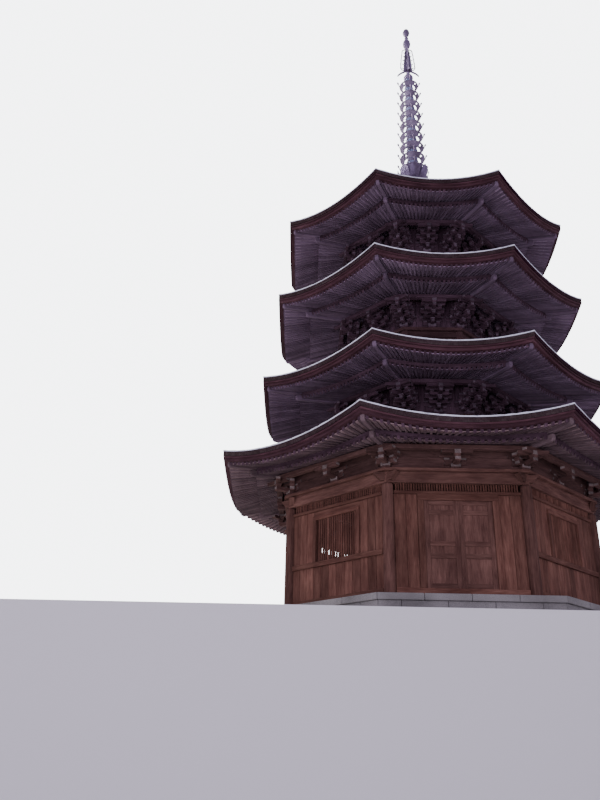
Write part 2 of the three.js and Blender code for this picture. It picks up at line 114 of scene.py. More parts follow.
def reshape(piece, kind, chosen, operator, **settings):
    """Runs an edit-mode operator on the chosen elements of a piece. Chosen is asked with the middle and the
    way of each: an "EDGE" has its run as its way, and a "FACE" its normal."""
    select_only(piece)
    bpy.ops.object.mode_set(mode="EDIT")
    bpy.ops.mesh.select_mode(type=kind)
    bpy.ops.mesh.select_all(action="DESELECT")
    bpy.ops.object.mode_set(mode="OBJECT")
    mesh = piece.data
    if kind == "FACE":
        for face in mesh.polygons:
            face.select = bool(chosen(face.center, face.normal))
    else:
        for edge in mesh.edges:
            first, second = [mesh.vertices[end].co for end in edge.vertices]
            edge.select = bool(chosen((first + second) / 2, (second - first).normalized()))
    bpy.ops.object.mode_set(mode="EDIT")
    operator(**settings)
    bpy.ops.object.mode_set(mode="OBJECT")
    return piece


def extrude(piece, kind, chosen, reach):
    return reshape(piece, kind, chosen, bpy.ops.mesh.extrude_region_move, TRANSFORM_OT_translate={"value": reach})


def fill(node, values):
    """Sets inputs of a node to plain values, or links them to what other nodes give"""
    for key, value in values.items():
        socket = node.inputs[key]
        if isinstance(value, bpy.types.NodeSocket):
            node.id_data.links.new(value, socket)
        else:
            socket.default_value = (*value, 1) if socket.type == "RGBA" else value
    return node


def add_node(tree, kind, values=None):
    return fill(tree.nodes.new("ShaderNode" + kind), values or {})


def dress(material, values):
    fill(material.node_tree.nodes["Principled BSDF"], values)
    return material


def new_material(name, roughness, metallic=0.0, specular=0.12):
    material = bpy.data.materials.new(name)
    material.use_nodes = True
    return dress(material, {"Roughness": roughness, "Metallic": metallic, "Specular IOR Level": specular})


select_only()
bpy.ops.mesh.primitive_plane_add(size=1)
floor = bpy.context.object
floor.name = "studio_floor"
for corner in floor.data.vertices:
    front = UPPER_FLOOR_EDGE if corner.co.y < 0 else FLOOR_REACH
    corner.co = (math.copysign(FLOOR_REACH, corner.co.x), front, 0)
extrude(floor, "EDGE", lambda middle, run: middle.y < UPPER_FLOOR_EDGE + 0.01, (0, 0, LOWER_FLOOR_LEVEL))
extrude(floor, "EDGE", lambda middle, run: middle.z < LOWER_FLOOR_LEVEL + 0.01, (0, -FLOOR_REACH, 0))
floor.data.materials.append(dress(new_material("pale_studio_floor", 0.9, specular=0.5), {"Base Color": FLOOR_PALE}))
floor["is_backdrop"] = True

# Light: a white sky that lights the tower only softly, a broad light from the upper left behind it, where the
# low sun stands in the photograph, a weak cool one in front that reaches up under the eaves, and a narrow one
# from the left on the finial.
SKY_WHITE = (0.95, 0.97, 1.0)
SKY_SEEN = 6.0
SKY_LIGHT = (0.80, 0.73, 0.97)
SKY_STRENGTH = 0.80


def soft_light(name, place, aim, size, power, colour, spread=180):
    light = bpy.data.lights.new(name, "AREA")
    light.shape = "DISK"
    light.size = size
    light.energy = power
    light.spread = math.radians(spread)
    light.color = colour
    lamp = bpy.data.objects.new(name, light)
    bpy.context.scene.collection.objects.link(lamp)
    lamp.location = place
    lamp.rotation_euler = (Vector(aim) - Vector(place)).to_track_quat("-Z", "Y").to_euler()


sky = bpy.data.worlds.new("pale_sky")
bpy.context.scene.world = sky
sky.use_nodes = True
sky_tree = sky.node_tree
shown = fill(sky_tree.nodes["Background"], {"Color": SKY_WHITE, "Strength": SKY_SEEN})
cast = add_node(sky_tree, "Background", {"Color": SKY_LIGHT, "Strength": SKY_STRENGTH})
either = add_node(sky_tree, "MixShader", {
    0: add_node(sky_tree, "LightPath").outputs["Is Camera Ray"],
    1: cast.outputs["Background"], 2: shown.outputs["Background"]})
fill(sky_tree.nodes["World Output"], {"Surface": either.outputs["Shader"]})
soft_light("sun_side", (-26, 14, 30), (0, 0, 10), 12, 9000, (1.0, 0.95, 0.88))
soft_light("low_fill", (-6, -22, -3.4), (0, 0, 7), 12, 1520, (0.80, 0.72, 0.97))
soft_light("finial_side", (-14, -5, 16.5), (0, 0, 15.2), 3, 45, (0.93, 0.95, 1.0), 26)

# Camera: at the photograph's viewpoint. Its place, turns and focal length were fitted to the eave corners and
# the finial in the photograph, which is 600 by 800 pixels.
CAMERA_PLACE = (-2.824, -17.350, -2.201)
CAMERA_YAW = math.radians(0.902)
CAMERA_PITCH = math.radians(24.50)
CAMERA_ROLL = math.radians(1.309)
FOCAL_PIXELS = 767.4
PHOTO_HEIGHT = 800
SENSOR = 36.0

camera_data = bpy.data.cameras.new("camera")
camera_data.sensor_width = SENSOR
camera_data.lens = FOCAL_PIXELS * SENSOR / PHOTO_HEIGHT
camera_data.clip_end = 400
camera = bpy.data.objects.new("camera", camera_data)
bpy.context.scene.collection.objects.link(camera)
turn = (Matrix.Rotation(CAMERA_YAW, 4, "Z") @ Matrix.Rotation(math.pi / 2 + CAMERA_PITCH, 4, "X")
        @ Matrix.Rotation(CAMERA_ROLL, 4, "Z"))
camera.matrix_world = Matrix.Translation(CAMERA_PLACE) @ turn
bpy.context.scene.camera = camera

# Plinth: dressed granite, a course of facing blocks under a coping of long slabs, paved inside. The blocks
# are bedded with open joints, and a kerb and round base stones carry the walls and posts.
SIDE_ANGLE = math.pi / 4
HALF_SIDE = math.tan(SIDE_ANGLE / 2)      # half a side's length, for an apothem of one
CORNER = 1 / math.cos(SIDE_ANGLE / 2)     # a corner's radius, for an apothem of one
FRONT = -math.pi / 2
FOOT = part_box("skirt_post_1")[0][2]       # where posts and walls stand on the stone
PLINTH_TOP = FOOT - 0.08
POST_RADIUS = 0.11
WALL_OUT = 3.2
CORE_OUT = 1.65
CORE_RADIUS = 0.14
STONE_JOINT = 0.007
STONE_EDGE = 0.009
SLABS_A_SIDE = 4
PAVING_REACH = 3.46
KERB_HALF = 0.09
BASE_STONE_REACH = 0.06                   # past the post that stands on it
FACING = SimpleNamespace(inner=3.50, outer=PLINTH_REACH - 0.04, low=0.0, high=0.178, shift=0.5)
COPING = SimpleNamespace(inner=3.44, outer=PLINTH_REACH, low=0.182, high=PLINTH_TOP, shift=0.0)
chance = random.Random(18)


def settle(name):
    """Names the new object and puts its place, turn and size into its mesh"""
    bpy.ops.object.transform_apply(location=True, rotation=True, scale=True)
    bpy.context.object.name = name
    return bpy.context.object


def box(name, low, high):
    """A box between two corners"""
    select_only()
    middle = [(a + b) / 2 for a, b in zip(low, high)]
    bpy.ops.mesh.primitive_cube_add(size=1, location=middle, scale=[b - a for a, b in zip(low, high)])
    return settle(name)


def round_bar(name, radius, low, high, place=(0, 0), sides=24, turn=0.0):
    """An upright round or many-sided bar"""
    select_only()
    bpy.ops.mesh.primitive_cylinder_add(vertices=sides, radius=radius, depth=high - low,
                                        location=(*place, (low + high) / 2), rotation=(0, 0, turn))
    return settle(name)


def corner_spot(out, number=0):
    """The corner after a side, counted from the front, of the octagon whose sides are so far out"""
    azimuth = FRONT + SIDE_ANGLE * (number + 0.5)
    return out * CORNER * math.cos(azimuth), out * CORNER * math.sin(azimuth)


def apply(piece, kind, **settings):
    """Adds a modifier with its settings and applies it"""
    select_only(piece)
    modifier = piece.modifiers.new(kind.lower(), kind)
    for name, value in settings.items():
        setattr(modifier, name, value)
    bpy.ops.object.modifier_apply(modifier=modifier.name)
    return piece


def bevel(piece, width, segments=2):
    return apply(piece, "BEVEL", width=width, segments=segments, limit_method="ANGLE")


def points_of(piece):
    flat = np.empty(3 * len(piece.data.vertices))
    piece.data.vertices.foreach_get("co", flat)
    return flat.reshape(-1, 3)


def move_points(piece, points):
    piece.data.vertices.foreach_set("co", points.ravel())
    piece.data.update()
    return piece


def level(out):
    return 0.0 * out


def to_side(piece, across=None, rise=level, lift=level):
    """Brings a piece laid flat, x out from the axis, y along the side and z up, to the front side of the
    octagon. With across, y is in metres from that line of the fan of lines from the axis, -1 and 1 being
    the corners. Without it y is itself such a share, so that the piece is mitred at the corners. The piece
    then follows the slope, and the eave's curve up to the corners."""
    out, along, up = points_of(piece).T
    x = along * out * HALF_SIDE if across is None else across * out * HALF_SIDE + along
    curve = (x / (out * HALF_SIDE)) ** 2
    return move_points(piece, np.column_stack([x, -out, up + rise(out) + lift(out) * curve]))


def vary(piece):
    """Gives a piece its own tone and its own stretch of the grain. Pieces that are already joined keep
    their differences."""
    mesh = piece.data
    tone = mesh.attributes.get("tone") or mesh.attributes.new("tone", "FLOAT", "FACE")
    values = np.empty(len(mesh.polygons))
    tone.data.foreach_get("value", values)
    tone.data.foreach_set("value", (values + chance.random()) % 1.0)
    layer = mesh.uv_layers.active
    if layer:
        flat = np.empty(2 * len(layer.data))
        layer.data.foreach_get("uv", flat)
        shift = (chance.uniform(-9, 9), chance.uniform(-9, 9))
        layer.data.foreach_set("uv", (flat.reshape(-1, 2) + shift).ravel())
    return piece


def copy_of(piece, matrix=None):
    twin = piece.copy()
    twin.data = piece.data.copy()
    bpy.context.scene.collection.objects.link(twin)
    if matrix:
        twin.data.transform(matrix)
    return twin


def join(name, parts):
    select_only(*parts)
    if len(parts) > 1:
        bpy.ops.object.join()
    parts[0].name = parts[0].data.name = name
    return parts[0]


def copies_round(piece, count, first=0.0):
    """Copies of a piece in even turns round the axis, the first turned by an angle"""
    turns = [first + number * 2 * math.pi / count for number in range(count)]
    copies = [copy_of(piece, Matrix.Rotation(turn, 4, "Z")) for turn in turns]
    bpy.data.objects.remove(piece)
    return copies


def all_round(name, piece):
    """Repeats a piece of the front side, or of its right-hand corner, all round as one object"""
    return join(name, [vary(twin) for twin in copies_round(piece, 8)])


def fasten(piece, slot, material, *nodes):
    """Gives a finished piece its material, if it has none yet, puts it on the root body and hides the solids that
    it stands for
    """
    if not piece.data.materials:
        piece.data.materials.append(material)
    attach(piece, "root")
    if nodes:
        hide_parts(*nodes)
    return piece


def noise(tree, coordinates, scale, detail=6.0, stretch=(1, 1, 1)):
    """A noise texture over coordinates that a Mapping node stretches"""
    mapping = add_node(tree, "Mapping", {"Vector": coordinates, "Scale": stretch})
    texture = {"Vector": mapping.outputs["Vector"], "Scale": scale, "Detail": detail}
    return add_node(tree, "TexNoise", texture).outputs["Fac"]


def ramp(tree, factor, *stops):
    """A colour ramp with (place, colour) stops"""
    node = add_node(tree, "ValToRGB", {"Fac": factor})
    elements = node.color_ramp.elements
    while len(elements) < len(stops):
        elements.new(0.5)
    for element, (place, colour) in zip(elements, stops):
        element.position = place
        element.color = (*colour, 1)
    return node.outputs["Color"]


def blend(tree, factor, first, second, mode="MIX"):
    """Mixes two colours, each a socket or a plain colour"""
    node = tree.nodes.new("ShaderNodeMix")
    node.data_type = "RGBA"
    node.blend_type = mode
    return fill(node, {0: factor, 6: first, 7: second}).outputs[2]


def stain(tree, colour, strength, pattern, start, shade):
    """Multiplies a colour by a shade where a pattern is low"""
    return blend(tree, strength, colour, ramp(tree, pattern, (start, shade), (0.7, (1.0, 1.0, 1.0))), "MULTIPLY")


def object_place(tree):
    return add_node(tree, "TexCoord").outputs["Object"]


def surface(material, colour, relief, strength, distance):
    """Gives a material its colour and its relief"""
    bump = add_node(material.node_tree, "Bump", {"Height": relief, "Strength": strength, "Distance": distance})
    return dress(material, {"Base Color": colour, "Normal": bump.outputs["Normal"]})


def granite(name, dark, light):
    """Rough dressed stone: fine crystals, broad stains and a pecked surface"""
    material = new_material(name, 0.9)
    tree = material.node_tree
    place = object_place(tree)
    stains = ramp(tree, noise(tree, place, 1.1, 8), (0.3, dark), (0.7, light))
    crystals = noise(tree, place, 120, 3)
    specks = ramp(tree, crystals, (0.4, (0.1, 0.1, 0.1)), (0.6, (0.75, 0.73, 0.7)))
    return surface(material, blend(tree, 0.35, stains, specks, "OVERLAY"), crystals, 0.5, 0.004)


weathered_granite = granite("weathered_granite", (0.16, 0.155, 0.145), (0.36, 0.35, 0.33))


def stone_course(name, course):
    """One course of blocks round the plinth, its joints moved on by a share of a block"""
    length = 2 / SLABS_A_SIDE
    joints = sorted({-1.0, 1.0} | {-1 + (number + course.shift) * length for number in range(SLABS_A_SIDE)})
    gap = STONE_JOINT / 2 / (course.outer * HALF_SIDE)
    blocks = [vary(box("block", (course.inner, start + gap, course.low), (course.outer, end - gap, course.high)))
              for start, end in zip(joints, joints[1:])]
    return all_round(name, bevel(to_side(join("course", blocks)), STONE_EDGE))


plinth_parts = [stone_course("facing", FACING), stone_course("coping", COPING)]
plinth_parts.append(round_bar("paving", PAVING_REACH * CORNER, 0.03, PLINTH_TOP - 0.004, sides=8,
                              turn=SIDE_ANGLE / 2))
kerb = box("kerb", (WALL_OUT - KERB_HALF, -1, PLINTH_TOP - 0.01), (WALL_OUT + KERB_HALF, 1, FOOT - 0.001))
plinth_parts.append(all_round("kerb", bevel(to_side(kerb), STONE_EDGE)))
for out, radius in ((WALL_OUT, POST_RADIUS), (CORE_OUT, CORE_RADIUS)):
    stone = round_bar("base_stone", radius + BASE_STONE_REACH, PLINTH_TOP - 0.02, FOOT - 0.0005, corner_spot(out))
    plinth_parts.append(all_round("base_stones", bevel(stone, 0.022, 3)))
fasten(join("granite_plinth", plinth_parts), "stone", weathered_granite, "stone_plinth")

# Ground-floor posts: eight round posts of red-brown timber on the base stones, rounded in at the head and
# a little at the foot, and weathered grey-red where the rain reaches them.
POST_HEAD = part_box("skirt_post_1")[1][2]
POST_SHOULDER = 0.06
POST_HEEL = 0.02
DARKEST_TONE, PALEST_TONE = 0.76, 1.26


def round_edges(piece, chosen, width, segments, profile=0.5):
    return reshape(piece, "EDGE", chosen, bpy.ops.mesh.bevel, offset=width, segments=segments, profile=profile)


def lay_grain(piece, axis=0):
    """Lays the grain along an axis in the UV map, in metres"""
    mesh = piece.data
    layer = mesh.uv_layers.active or mesh.uv_layers.new(name="UVMap")
    for face in mesh.polygons:
        along = Vector([number == axis for number in range(3)])
        side = along.cross(face.normal)
        if side.length < 0.3:
            side = along.orthogonal()
            along = side.cross(face.normal)
        side.normalize()
        for loop in face.loop_indices:
            place = mesh.vertices[mesh.loops[loop].vertex_index].co
            layer.data[loop].uv = (place.dot(along), place.dot(side))
    return piece


def grain_place(tree):
    node = add_node(tree, "UVMap")
    node.uv_map = "UVMap"
    return node.outputs["UV"]


def timber(name, dark, middle, light, roughness=0.8):
    """Aged timber: grain along the piece, a tone of its own for each piece, and blotches of weather"""
    material = new_material(name, roughness)
    tree = material.node_tree
    along_grain = grain_place(tree)
    fibres = noise(tree, along_grain, 9, 8, (0.6, 9, 1))
    figure = noise(tree, along_grain, 3, 4, (0.5, 4, 1))
    grain = ramp(tree, fibres, (0.3, dark), (0.52, middle), (0.75, light))
    figured = blend(tree, 0.45, grain, ramp(tree, figure, (0.35, dark), (0.7, light)))
    weathered = stain(tree, figured, 0.8, noise(tree, object_place(tree), 1.7, 7), 0.35, (0.62, 0.6, 0.6))
    tone = add_node(tree, "Attribute")
    tone.attribute_name = "tone"
    value = add_node(tree, "MapRange", {
        "Value": tone.outputs["Fac"], "To Min": DARKEST_TONE, "To Max": PALEST_TONE})
    toned = add_node(tree, "HueSaturation", {"Value": value.outputs["Result"], "Color": weathered})
    return surface(material, toned.outputs["Color"], fibres, 0.35, 0.004)


red_brown_timber = timber("red_brown_timber", (0.075, 0.035, 0.028), (0.165, 0.078, 0.058), (0.27, 0.15, 0.11))
for number in range(8):
    post = round_bar(f"round_post_{number + 1}", POST_RADIUS, FOOT, POST_HEAD, corner_spot(WALL_OUT, number), 32)
    round_edges(post, lambda middle, run: middle.z > POST_HEAD - 0.001, POST_SHOULDER, 5)
    round_edges(post, lambda middle, run: middle.z < FOOT + 0.001, POST_HEEL, 3)
    select_only(post)
    bpy.ops.object.shade_smooth_by_angle(angle=math.radians(30))
    fasten(vary(lay_grain(post, 2)), "timber", red_brown_timber, f"skirt_post_{number + 1}")

# Walls of the ground floor: upright boards between a sill and a rail, a barred window in each side but the
# front, which has the doorway, and a row of bars in the slot under the head beam. All wood, pegged.
WALL_NAMES = ["front", "front_right", "right", "back_right", "back", "back_left", "left", "front_left"]
BAY = WALL_OUT * HALF_SIDE - POST_RADIUS - 0.0012      # from mid side to the post
BOARD_HALF = 0.021
RAIL_HALF = 0.055
TIE_HALF = 0.063
SILL_TOP = FOOT + 0.14
RAIL = SimpleNamespace(low=2.30, high=2.36)
HEAD_BEAM_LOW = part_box("skirt_head_ring")[0][2]
BOARD_WIDTH = 0.205
BOARD_GAP = 0.005
WINDOW = SimpleNamespace(half=0.55, low=1.25, high=2.12, frame=0.08, tie=0.10)
DOORWAY = SimpleNamespace(half=0.65, low=SILL_TOP, high=2.18, frame=0.12)
WINDOW_BAR, WINDOW_BAR_PITCH = 0.034, 0.0625
SLOT_BAR, SLOT_BAR_PITCH = 0.024, 0.05

red_boards = timber("red_boards", (0.09, 0.038, 0.028), (0.20, 0.088, 0.06), (0.31, 0.165, 0.115), 0.85)


def rail(low, high, half=RAIL_HALF, edge=0.006):
    """A rail, frame bar or board of the wall, from (along, height) to (along, height)"""
    piece = bevel(box("rail", (WALL_OUT - half, *low), (WALL_OUT + half, *high)), edge, 1)
    return vary(lay_grain(piece, 1 if high[0] - low[0] > high[1] - low[1] else 2))


def spans(start, end, count):
    """The ends of so many even lengths between two places"""
    places = np.linspace(start, end, count + 1)
    return zip(places, places[1:])


def boards(start, end, low, high):
    """Upright boards side by side between two places along the wall"""
    return [rail((a + BOARD_GAP / 2, low), (b - BOARD_GAP / 2, high), BOARD_HALF)
            for a, b in spans(start, end, max(1, round((end - start) / BOARD_WIDTH)))]


def bars(start, end, low, high, size, pitch):
    """Square bars set edge on, as in a barred window"""
    count = round((end - start) / pitch)
    made = []
    for number in range(1, count):
        bar = box("bar", (-size / 2, -size / 2, low), (size / 2, size / 2, high))
        along = start + number * (end - start) / count
        bar.data.transform(Matrix.Translation((WALL_OUT, along, 0)) @ Matrix.Rotation(math.pi / 4, 4, "Z"))
        made.append(vary(lay_grain(bar, 2)))
    return made


def wall_parts(opening, has_window):
    """All that one side's wall is made of, round its window or its doorway"""
    outer, head = opening.half + opening.frame, opening.high + opening.frame
    parts = [rail((-BAY, FOOT), (BAY, SILL_TOP)), rail((-BAY, RAIL.low), (BAY, RAIL.high))]
    parts += boards(-BAY, -outer, SILL_TOP, RAIL.low) + boards(outer, BAY, SILL_TOP, RAIL.low)
    parts.append(rail((-outer, opening.high), (outer, head)))
    for hand in (-1, 1):
        near, far = sorted((hand * opening.half, hand * outer))
        parts.append(rail((near, opening.low), (far, opening.high)))
    if head < RAIL.low:
        parts.append(rail((-outer, head), (outer, RAIL.low), BOARD_HALF))
    if has_window:
        tie_low = opening.low - opening.tie
        parts.append(rail((-BAY, tie_low), (BAY, opening.low), TIE_HALF))
        parts += boards(-outer, outer, SILL_TOP, tie_low)
        parts += bars(-opening.half, opening.half, opening.low, opening.high, WINDOW_BAR, WINDOW_BAR_PITCH)
    return parts + bars(-BAY, BAY, RAIL.high - 0.005, HEAD_BEAM_LOW, SLOT_BAR, SLOT_BAR_PITCH)


def turn_to_front(piece, sides=0.0, out=0.0):
    """Turns a piece that faces along X, moved so far out, to the front or to so many sides on from it"""
    piece.data.transform(Matrix.Rotation(FRONT + sides * SIDE_ANGLE, 4, "Z") @ Matrix.Translation((out, 0, 0)))
    return piece


for side, name in enumerate(WALL_NAMES):
    wall = join(f"board_wall_{name}", wall_parts(WINDOW if side else DOORWAY, side > 0))
    fasten(turn_to_front(wall, side), "boards", red_boards, f"wall_{name}")

# Doors: a pair of framed leaves with four sunk panels each, of the same timber as the posts. The photograph
# hides them, so they are finished as such a building's doors are, and they are shut.
LEAF_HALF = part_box("door_leaf_right")[1][0] - 0.0003
LEAF_HALF_THICKNESS = 0.025
LEAF_PANEL_HALF = 0.008
LEAF_EDGE = 0.004
LEAF_GAP_HALF = 0.001
STILE = 0.09
LEAF_LOW, LEAF_HIGH = SILL_TOP + 0.0005, DOORWAY.high - 0.0005
RAIL_SHARES = [0, 0.36, 0.5, 0.86, 1]

for hand, name in ((-1, "left"), (1, "right")):
    near, far = sorted((hand * LEAF_GAP_HALF, hand * LEAF_HALF))
    parts = [rail((low, LEAF_LOW), (low + STILE, LEAF_HIGH), LEAF_HALF_THICKNESS, LEAF_EDGE)
             for low in (near, far - STILE)]
    for share in RAIL_SHARES:
        height = LEAF_LOW + share * (LEAF_HIGH - LEAF_LOW)
        middle = min(max(height, LEAF_LOW + STILE / 2), LEAF_HIGH - STILE / 2)
        parts.append(rail((near + STILE, middle - STILE / 2), (far - STILE, middle + STILE / 2),
                          LEAF_HALF_THICKNESS - 0.002, LEAF_EDGE))
    parts.append(rail((near + STILE / 2, LEAF_LOW + 0.02), (far - STILE / 2, LEAF_HIGH - 0.02), LEAF_PANEL_HALF))
    leaf = turn_to_front(join(f"panelled_leaf_{name}", parts))
    fasten(leaf, "timber", red_brown_timber, f"door_leaf_{name}")

# Head beam of the ground floor, tenoned through the posts with a rounded nosing at each end, and the wide
# flat plate on it that carries the brackets. Straight lengths of the posts' timber, mitred at the corners.
HEAD_BEAM_HIGH = HEAD_BEAM_LOW + 0.22
PLATE_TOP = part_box("skirt_head_ring")[1][2]
HEAD_HALF = 0.075
PLATE_HALF = 0.16
NOSE = SimpleNamespace(reach=0.27, half=0.058, low=HEAD_BEAM_LOW + 0.04, high=HEAD_BEAM_HIGH - 0.02)


def ring_beam(name, half, middle, low, high, edge=0.008):
    """A straight beam round the octagon, mitred at the corners"""
    piece = box(name, (middle - half, -1, low), (middle + half, 1, high))
    return all_round(name, lay_grain(bevel(to_side(piece), edge, 1)))


def nosing(hand):
    """The end of a head beam past its post, cut back below in a hollow slope"""
    corner = WALL_OUT * HALF_SIDE
    tip = hand * (corner + NOSE.reach)
    start, end = sorted((hand * (corner - 0.05), tip))
    piece = box("nosing", (WALL_OUT - NOSE.half, start, NOSE.low), (WALL_OUT + NOSE.half, end, NOSE.high))
    for height, width, segments, profile in ((NOSE.low, 0.135, 6, 0.2), (NOSE.high, 0.03, 3, 0.5)):
        round_edges(piece, lambda middle, run: abs(middle.y - tip) < 0.001 and abs(middle.z - height) < 0.001,
                    width, segments, profile)
    return lay_grain(to_side(piece, across=0.0))


parts = [ring_beam("head_beam", HEAD_HALF, WALL_OUT, HEAD_BEAM_LOW, HEAD_BEAM_HIGH + 0.002)]
parts.append(ring_beam("head_plate", PLATE_HALF, WALL_OUT, HEAD_BEAM_HIGH, PLATE_TOP))
parts += [all_round("nosings", nosing(hand)) for hand in (-1, 1)]
fasten(join("head_beam_and_plate", parts), "timber", red_brown_timber, "skirt_head_ring")

# Inner columns: eight stout round columns on base stones round the middle room, tied together at the head.
# They carry the whole tower above the skirt roof.
CORE_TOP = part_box("core_columns")[1][2]
CORE_TIE_LOW = CORE_TOP - 0.26
CORE_TIE_HALF = 0.10
COLUMN_EDGE = 0.02

column = round_bar("column", CORE_RADIUS, FOOT, CORE_TOP - 0.01, corner_spot(CORE_OUT), 32)
columns = all_round("columns", lay_grain(bevel(column, COLUMN_EDGE, 3), 2))
core_tie = ring_beam("core_tie", CORE_TIE_HALF, CORE_OUT, CORE_TIE_LOW, CORE_TOP)
fasten(join("inner_columns", [columns, core_tie]), "timber", red_brown_timber, "core_columns")

# Brackets under the skirt roof: on the plate, at each post and at mid side, a great block with boat-shaped
# arms, paler at their ends, carries a bearing block and the eave purlin. Plain boards close the wall.
SKIRT = SimpleNamespace(name="skirt", body=WALL_OUT, plate=PLATE_TOP, purlin=3.5, purlin_top=3.20, steps=1,
                        arm=0.11, block=0.13, arm_share=0.52)
PURLIN_HALF = 0.065
PURLIN_HEIGHT = 0.09
ARM_FOOT = 0.09          # height of the lowest arm above the plate
ARM_TAIL, ARM_NOSE = 0.14, 0.06
ARM_ROUNDING = 0.3       # a share of the arm's height
CROSS_ARM_HALF = 0.45    # a share of the arm's width
CROSS_BLOCK = 0.9        # a share of the block's width
CROSS_BLOCK_INSET = 0.045
LONGEST_CROSS_HALF = 0.30
GREAT_BLOCK = 0.20
GREAT_BLOCK_HEIGHT = 0.12
BLOCK_NECK = 0.7         # a block's width below, as a share of its width above
BLOCK_FOOT = 0.4         # its drawn-in part, as a share of its height
BEARER_HEIGHT = 0.07
BOARDING_HALF = 0.02
BOARDING_RISE = 0.11
FRIEZE_BOARDS = 2

dark_timber = timber("shaded_timber", (0.050, 0.027, 0.037), (0.106, 0.058, 0.078), (0.175, 0.106, 0.139))
end_grain = timber("weathered_end_grain", (0.09, 0.065, 0.08), (0.17, 0.125, 0.15), (0.26, 0.20, 0.235), 0.85)
skirt_timber = timber("skirt_timber", (0.062, 0.032, 0.028), (0.13, 0.068, 0.056), (0.21, 0.12, 0.10))
skirt_ends = timber("skirt_end_grain", (0.13, 0.10, 0.09), (0.25, 0.20, 0.18), (0.38, 0.31, 0.28), 0.85)


def two_materials(piece, first, second, is_second):
    """Gives a piece two materials, the second one on the faces whose normals it is for"""
    for material in (first, second):
        piece.data.materials.append(material)
    for face in piece.data.polygons:
        face.material_index = int(is_second(face.normal))
    return piece


def bare_ends(piece, axis):
    """Gives the faces that look along an axis the paler wood of weathered ends, and lays the grain"""
    two_materials(piece, dark_timber, end_grain, lambda normal: abs(normal[axis]) > 0.97)
    return vary(lay_grain(piece, axis))


def bearing_block(x, y, z, width, height):
    """A bearing block: square above, drawn in below"""
    neck = z + height * BLOCK_FOOT
    piece = box("block", (x - width / 2, y - width / 2, neck), (x + width / 2, y + width / 2, z + height))
    extrude(piece, "FACE", lambda middle, normal: normal.z < -0.9, (0, 0, z - neck))
    for vertex in piece.data.vertices:
        if vertex.co.z < neck - 0.001:
            vertex.co.x = x + (vertex.co.x - x) * BLOCK_NECK
            vertex.co.y = y + (vertex.co.y - y) * BLOCK_NECK
    piece.data.update()
    return bare_ends(bevel(piece, 0.004, 1), 0)


def arm(low, high, axis, rounded):
    """A bracket arm between two corners along an axis, rounded below at the ends given as -1 and 1"""
    ends = [low[axis] if end < 0 else high[axis] for end in rounded]
    piece = box("arm", low, high)
    round_edges(piece, lambda middle, run: middle.z < low[2] + 0.001
                and any(abs(middle[axis] - end) < 0.001 for end in ends), ARM_ROUNDING * (high[2] - low[2]), 3)
    return bare_ends(piece, axis)


def cross_arm(place, x, z, half, height, block_height, turns):
    """An arm along the wall with a block on each end, once for each turn about its own middle"""
    made = []
    thick = CROSS_ARM_HALF * place.arm
    for angle in turns:
        parts = [arm((x - thick, -half, z), (x + thick, half, z + height), 1, (-1, 1))]
        if block_height:
            parts += [bearing_block(x, y, z + height, CROSS_BLOCK * place.block, block_height)
                      for y in (CROSS_BLOCK_INSET - half, half - CROSS_BLOCK_INSET)]
        swing = Matrix.Translation((x, 0, 0)) @ Matrix.Rotation(angle, 4, "Z") @ Matrix.Translation((-x, 0, 0))
        for part in parts:
            part.data.transform(swing)
        made += parts
    return made


def bracket_set(place, spread, turns):
    """A bracket set at the wall, x out from it: steps of arms and blocks up to the bearer of the purlin.
    The steps are spread further apart on a corner's diagonal, where arms run along both sides."""
    rise = place.purlin_top - PURLIN_HEIGHT - place.plate
    step = (place.purlin - place.body) / place.steps * spread
    pitch = (rise - ARM_FOOT - BEARER_HEIGHT) / place.steps
    arm_height, block_height = place.arm_share * pitch, (1 - place.arm_share) * pitch
    half = place.arm / 2
    long_half = min(LONGEST_CROSS_HALF, 0.185 * place.body)
    parts = [bearing_block(0, 0, 0, GREAT_BLOCK, GREAT_BLOCK_HEIGHT)]
    for number in range(place.steps):
        z = ARM_FOOT + number * pitch
        tip = (number + 1) * step
        last = number == place.steps - 1
        parts.append(arm((-ARM_TAIL, -half, z), (tip + ARM_NOSE, half, z + arm_height), 0, (1,)))
        parts.append(bearing_block(tip + 0.008 * last, 0, z + arm_height, place.block,
                                   block_height + last * BEARER_HEIGHT))
        parts += cross_arm(place, number * step, z, 0.7 * long_half, arm_height, block_height, turns)
        if number:
            parts += cross_arm(place, (number - 1) * step, z, long_half, arm_height, block_height, turns)
    for number in (place.steps, place.steps - 1):
        z = ARM_FOOT + place.steps * pitch
        parts += cross_arm(place, number * step, z, long_half, BEARER_HEIGHT, 0.0, turns)
    piece = join("bracket_set", parts)
    piece.data.transform(Matrix.Translation((0, 0, place.plate)))
    return piece


def bracket_ring(name, place):
    """The bracket sets of all corners and mid sides"""
    middle = turn_to_front(bracket_set(place, 1.0, (0.0,)), 0, place.body)
    corner = bracket_set(place, CORNER, (-SIDE_ANGLE / 2, SIDE_ANGLE / 2))
    turn_to_front(corner, 0.5, place.body * CORNER)
    return [all_round(name, middle), all_round(name, corner)]


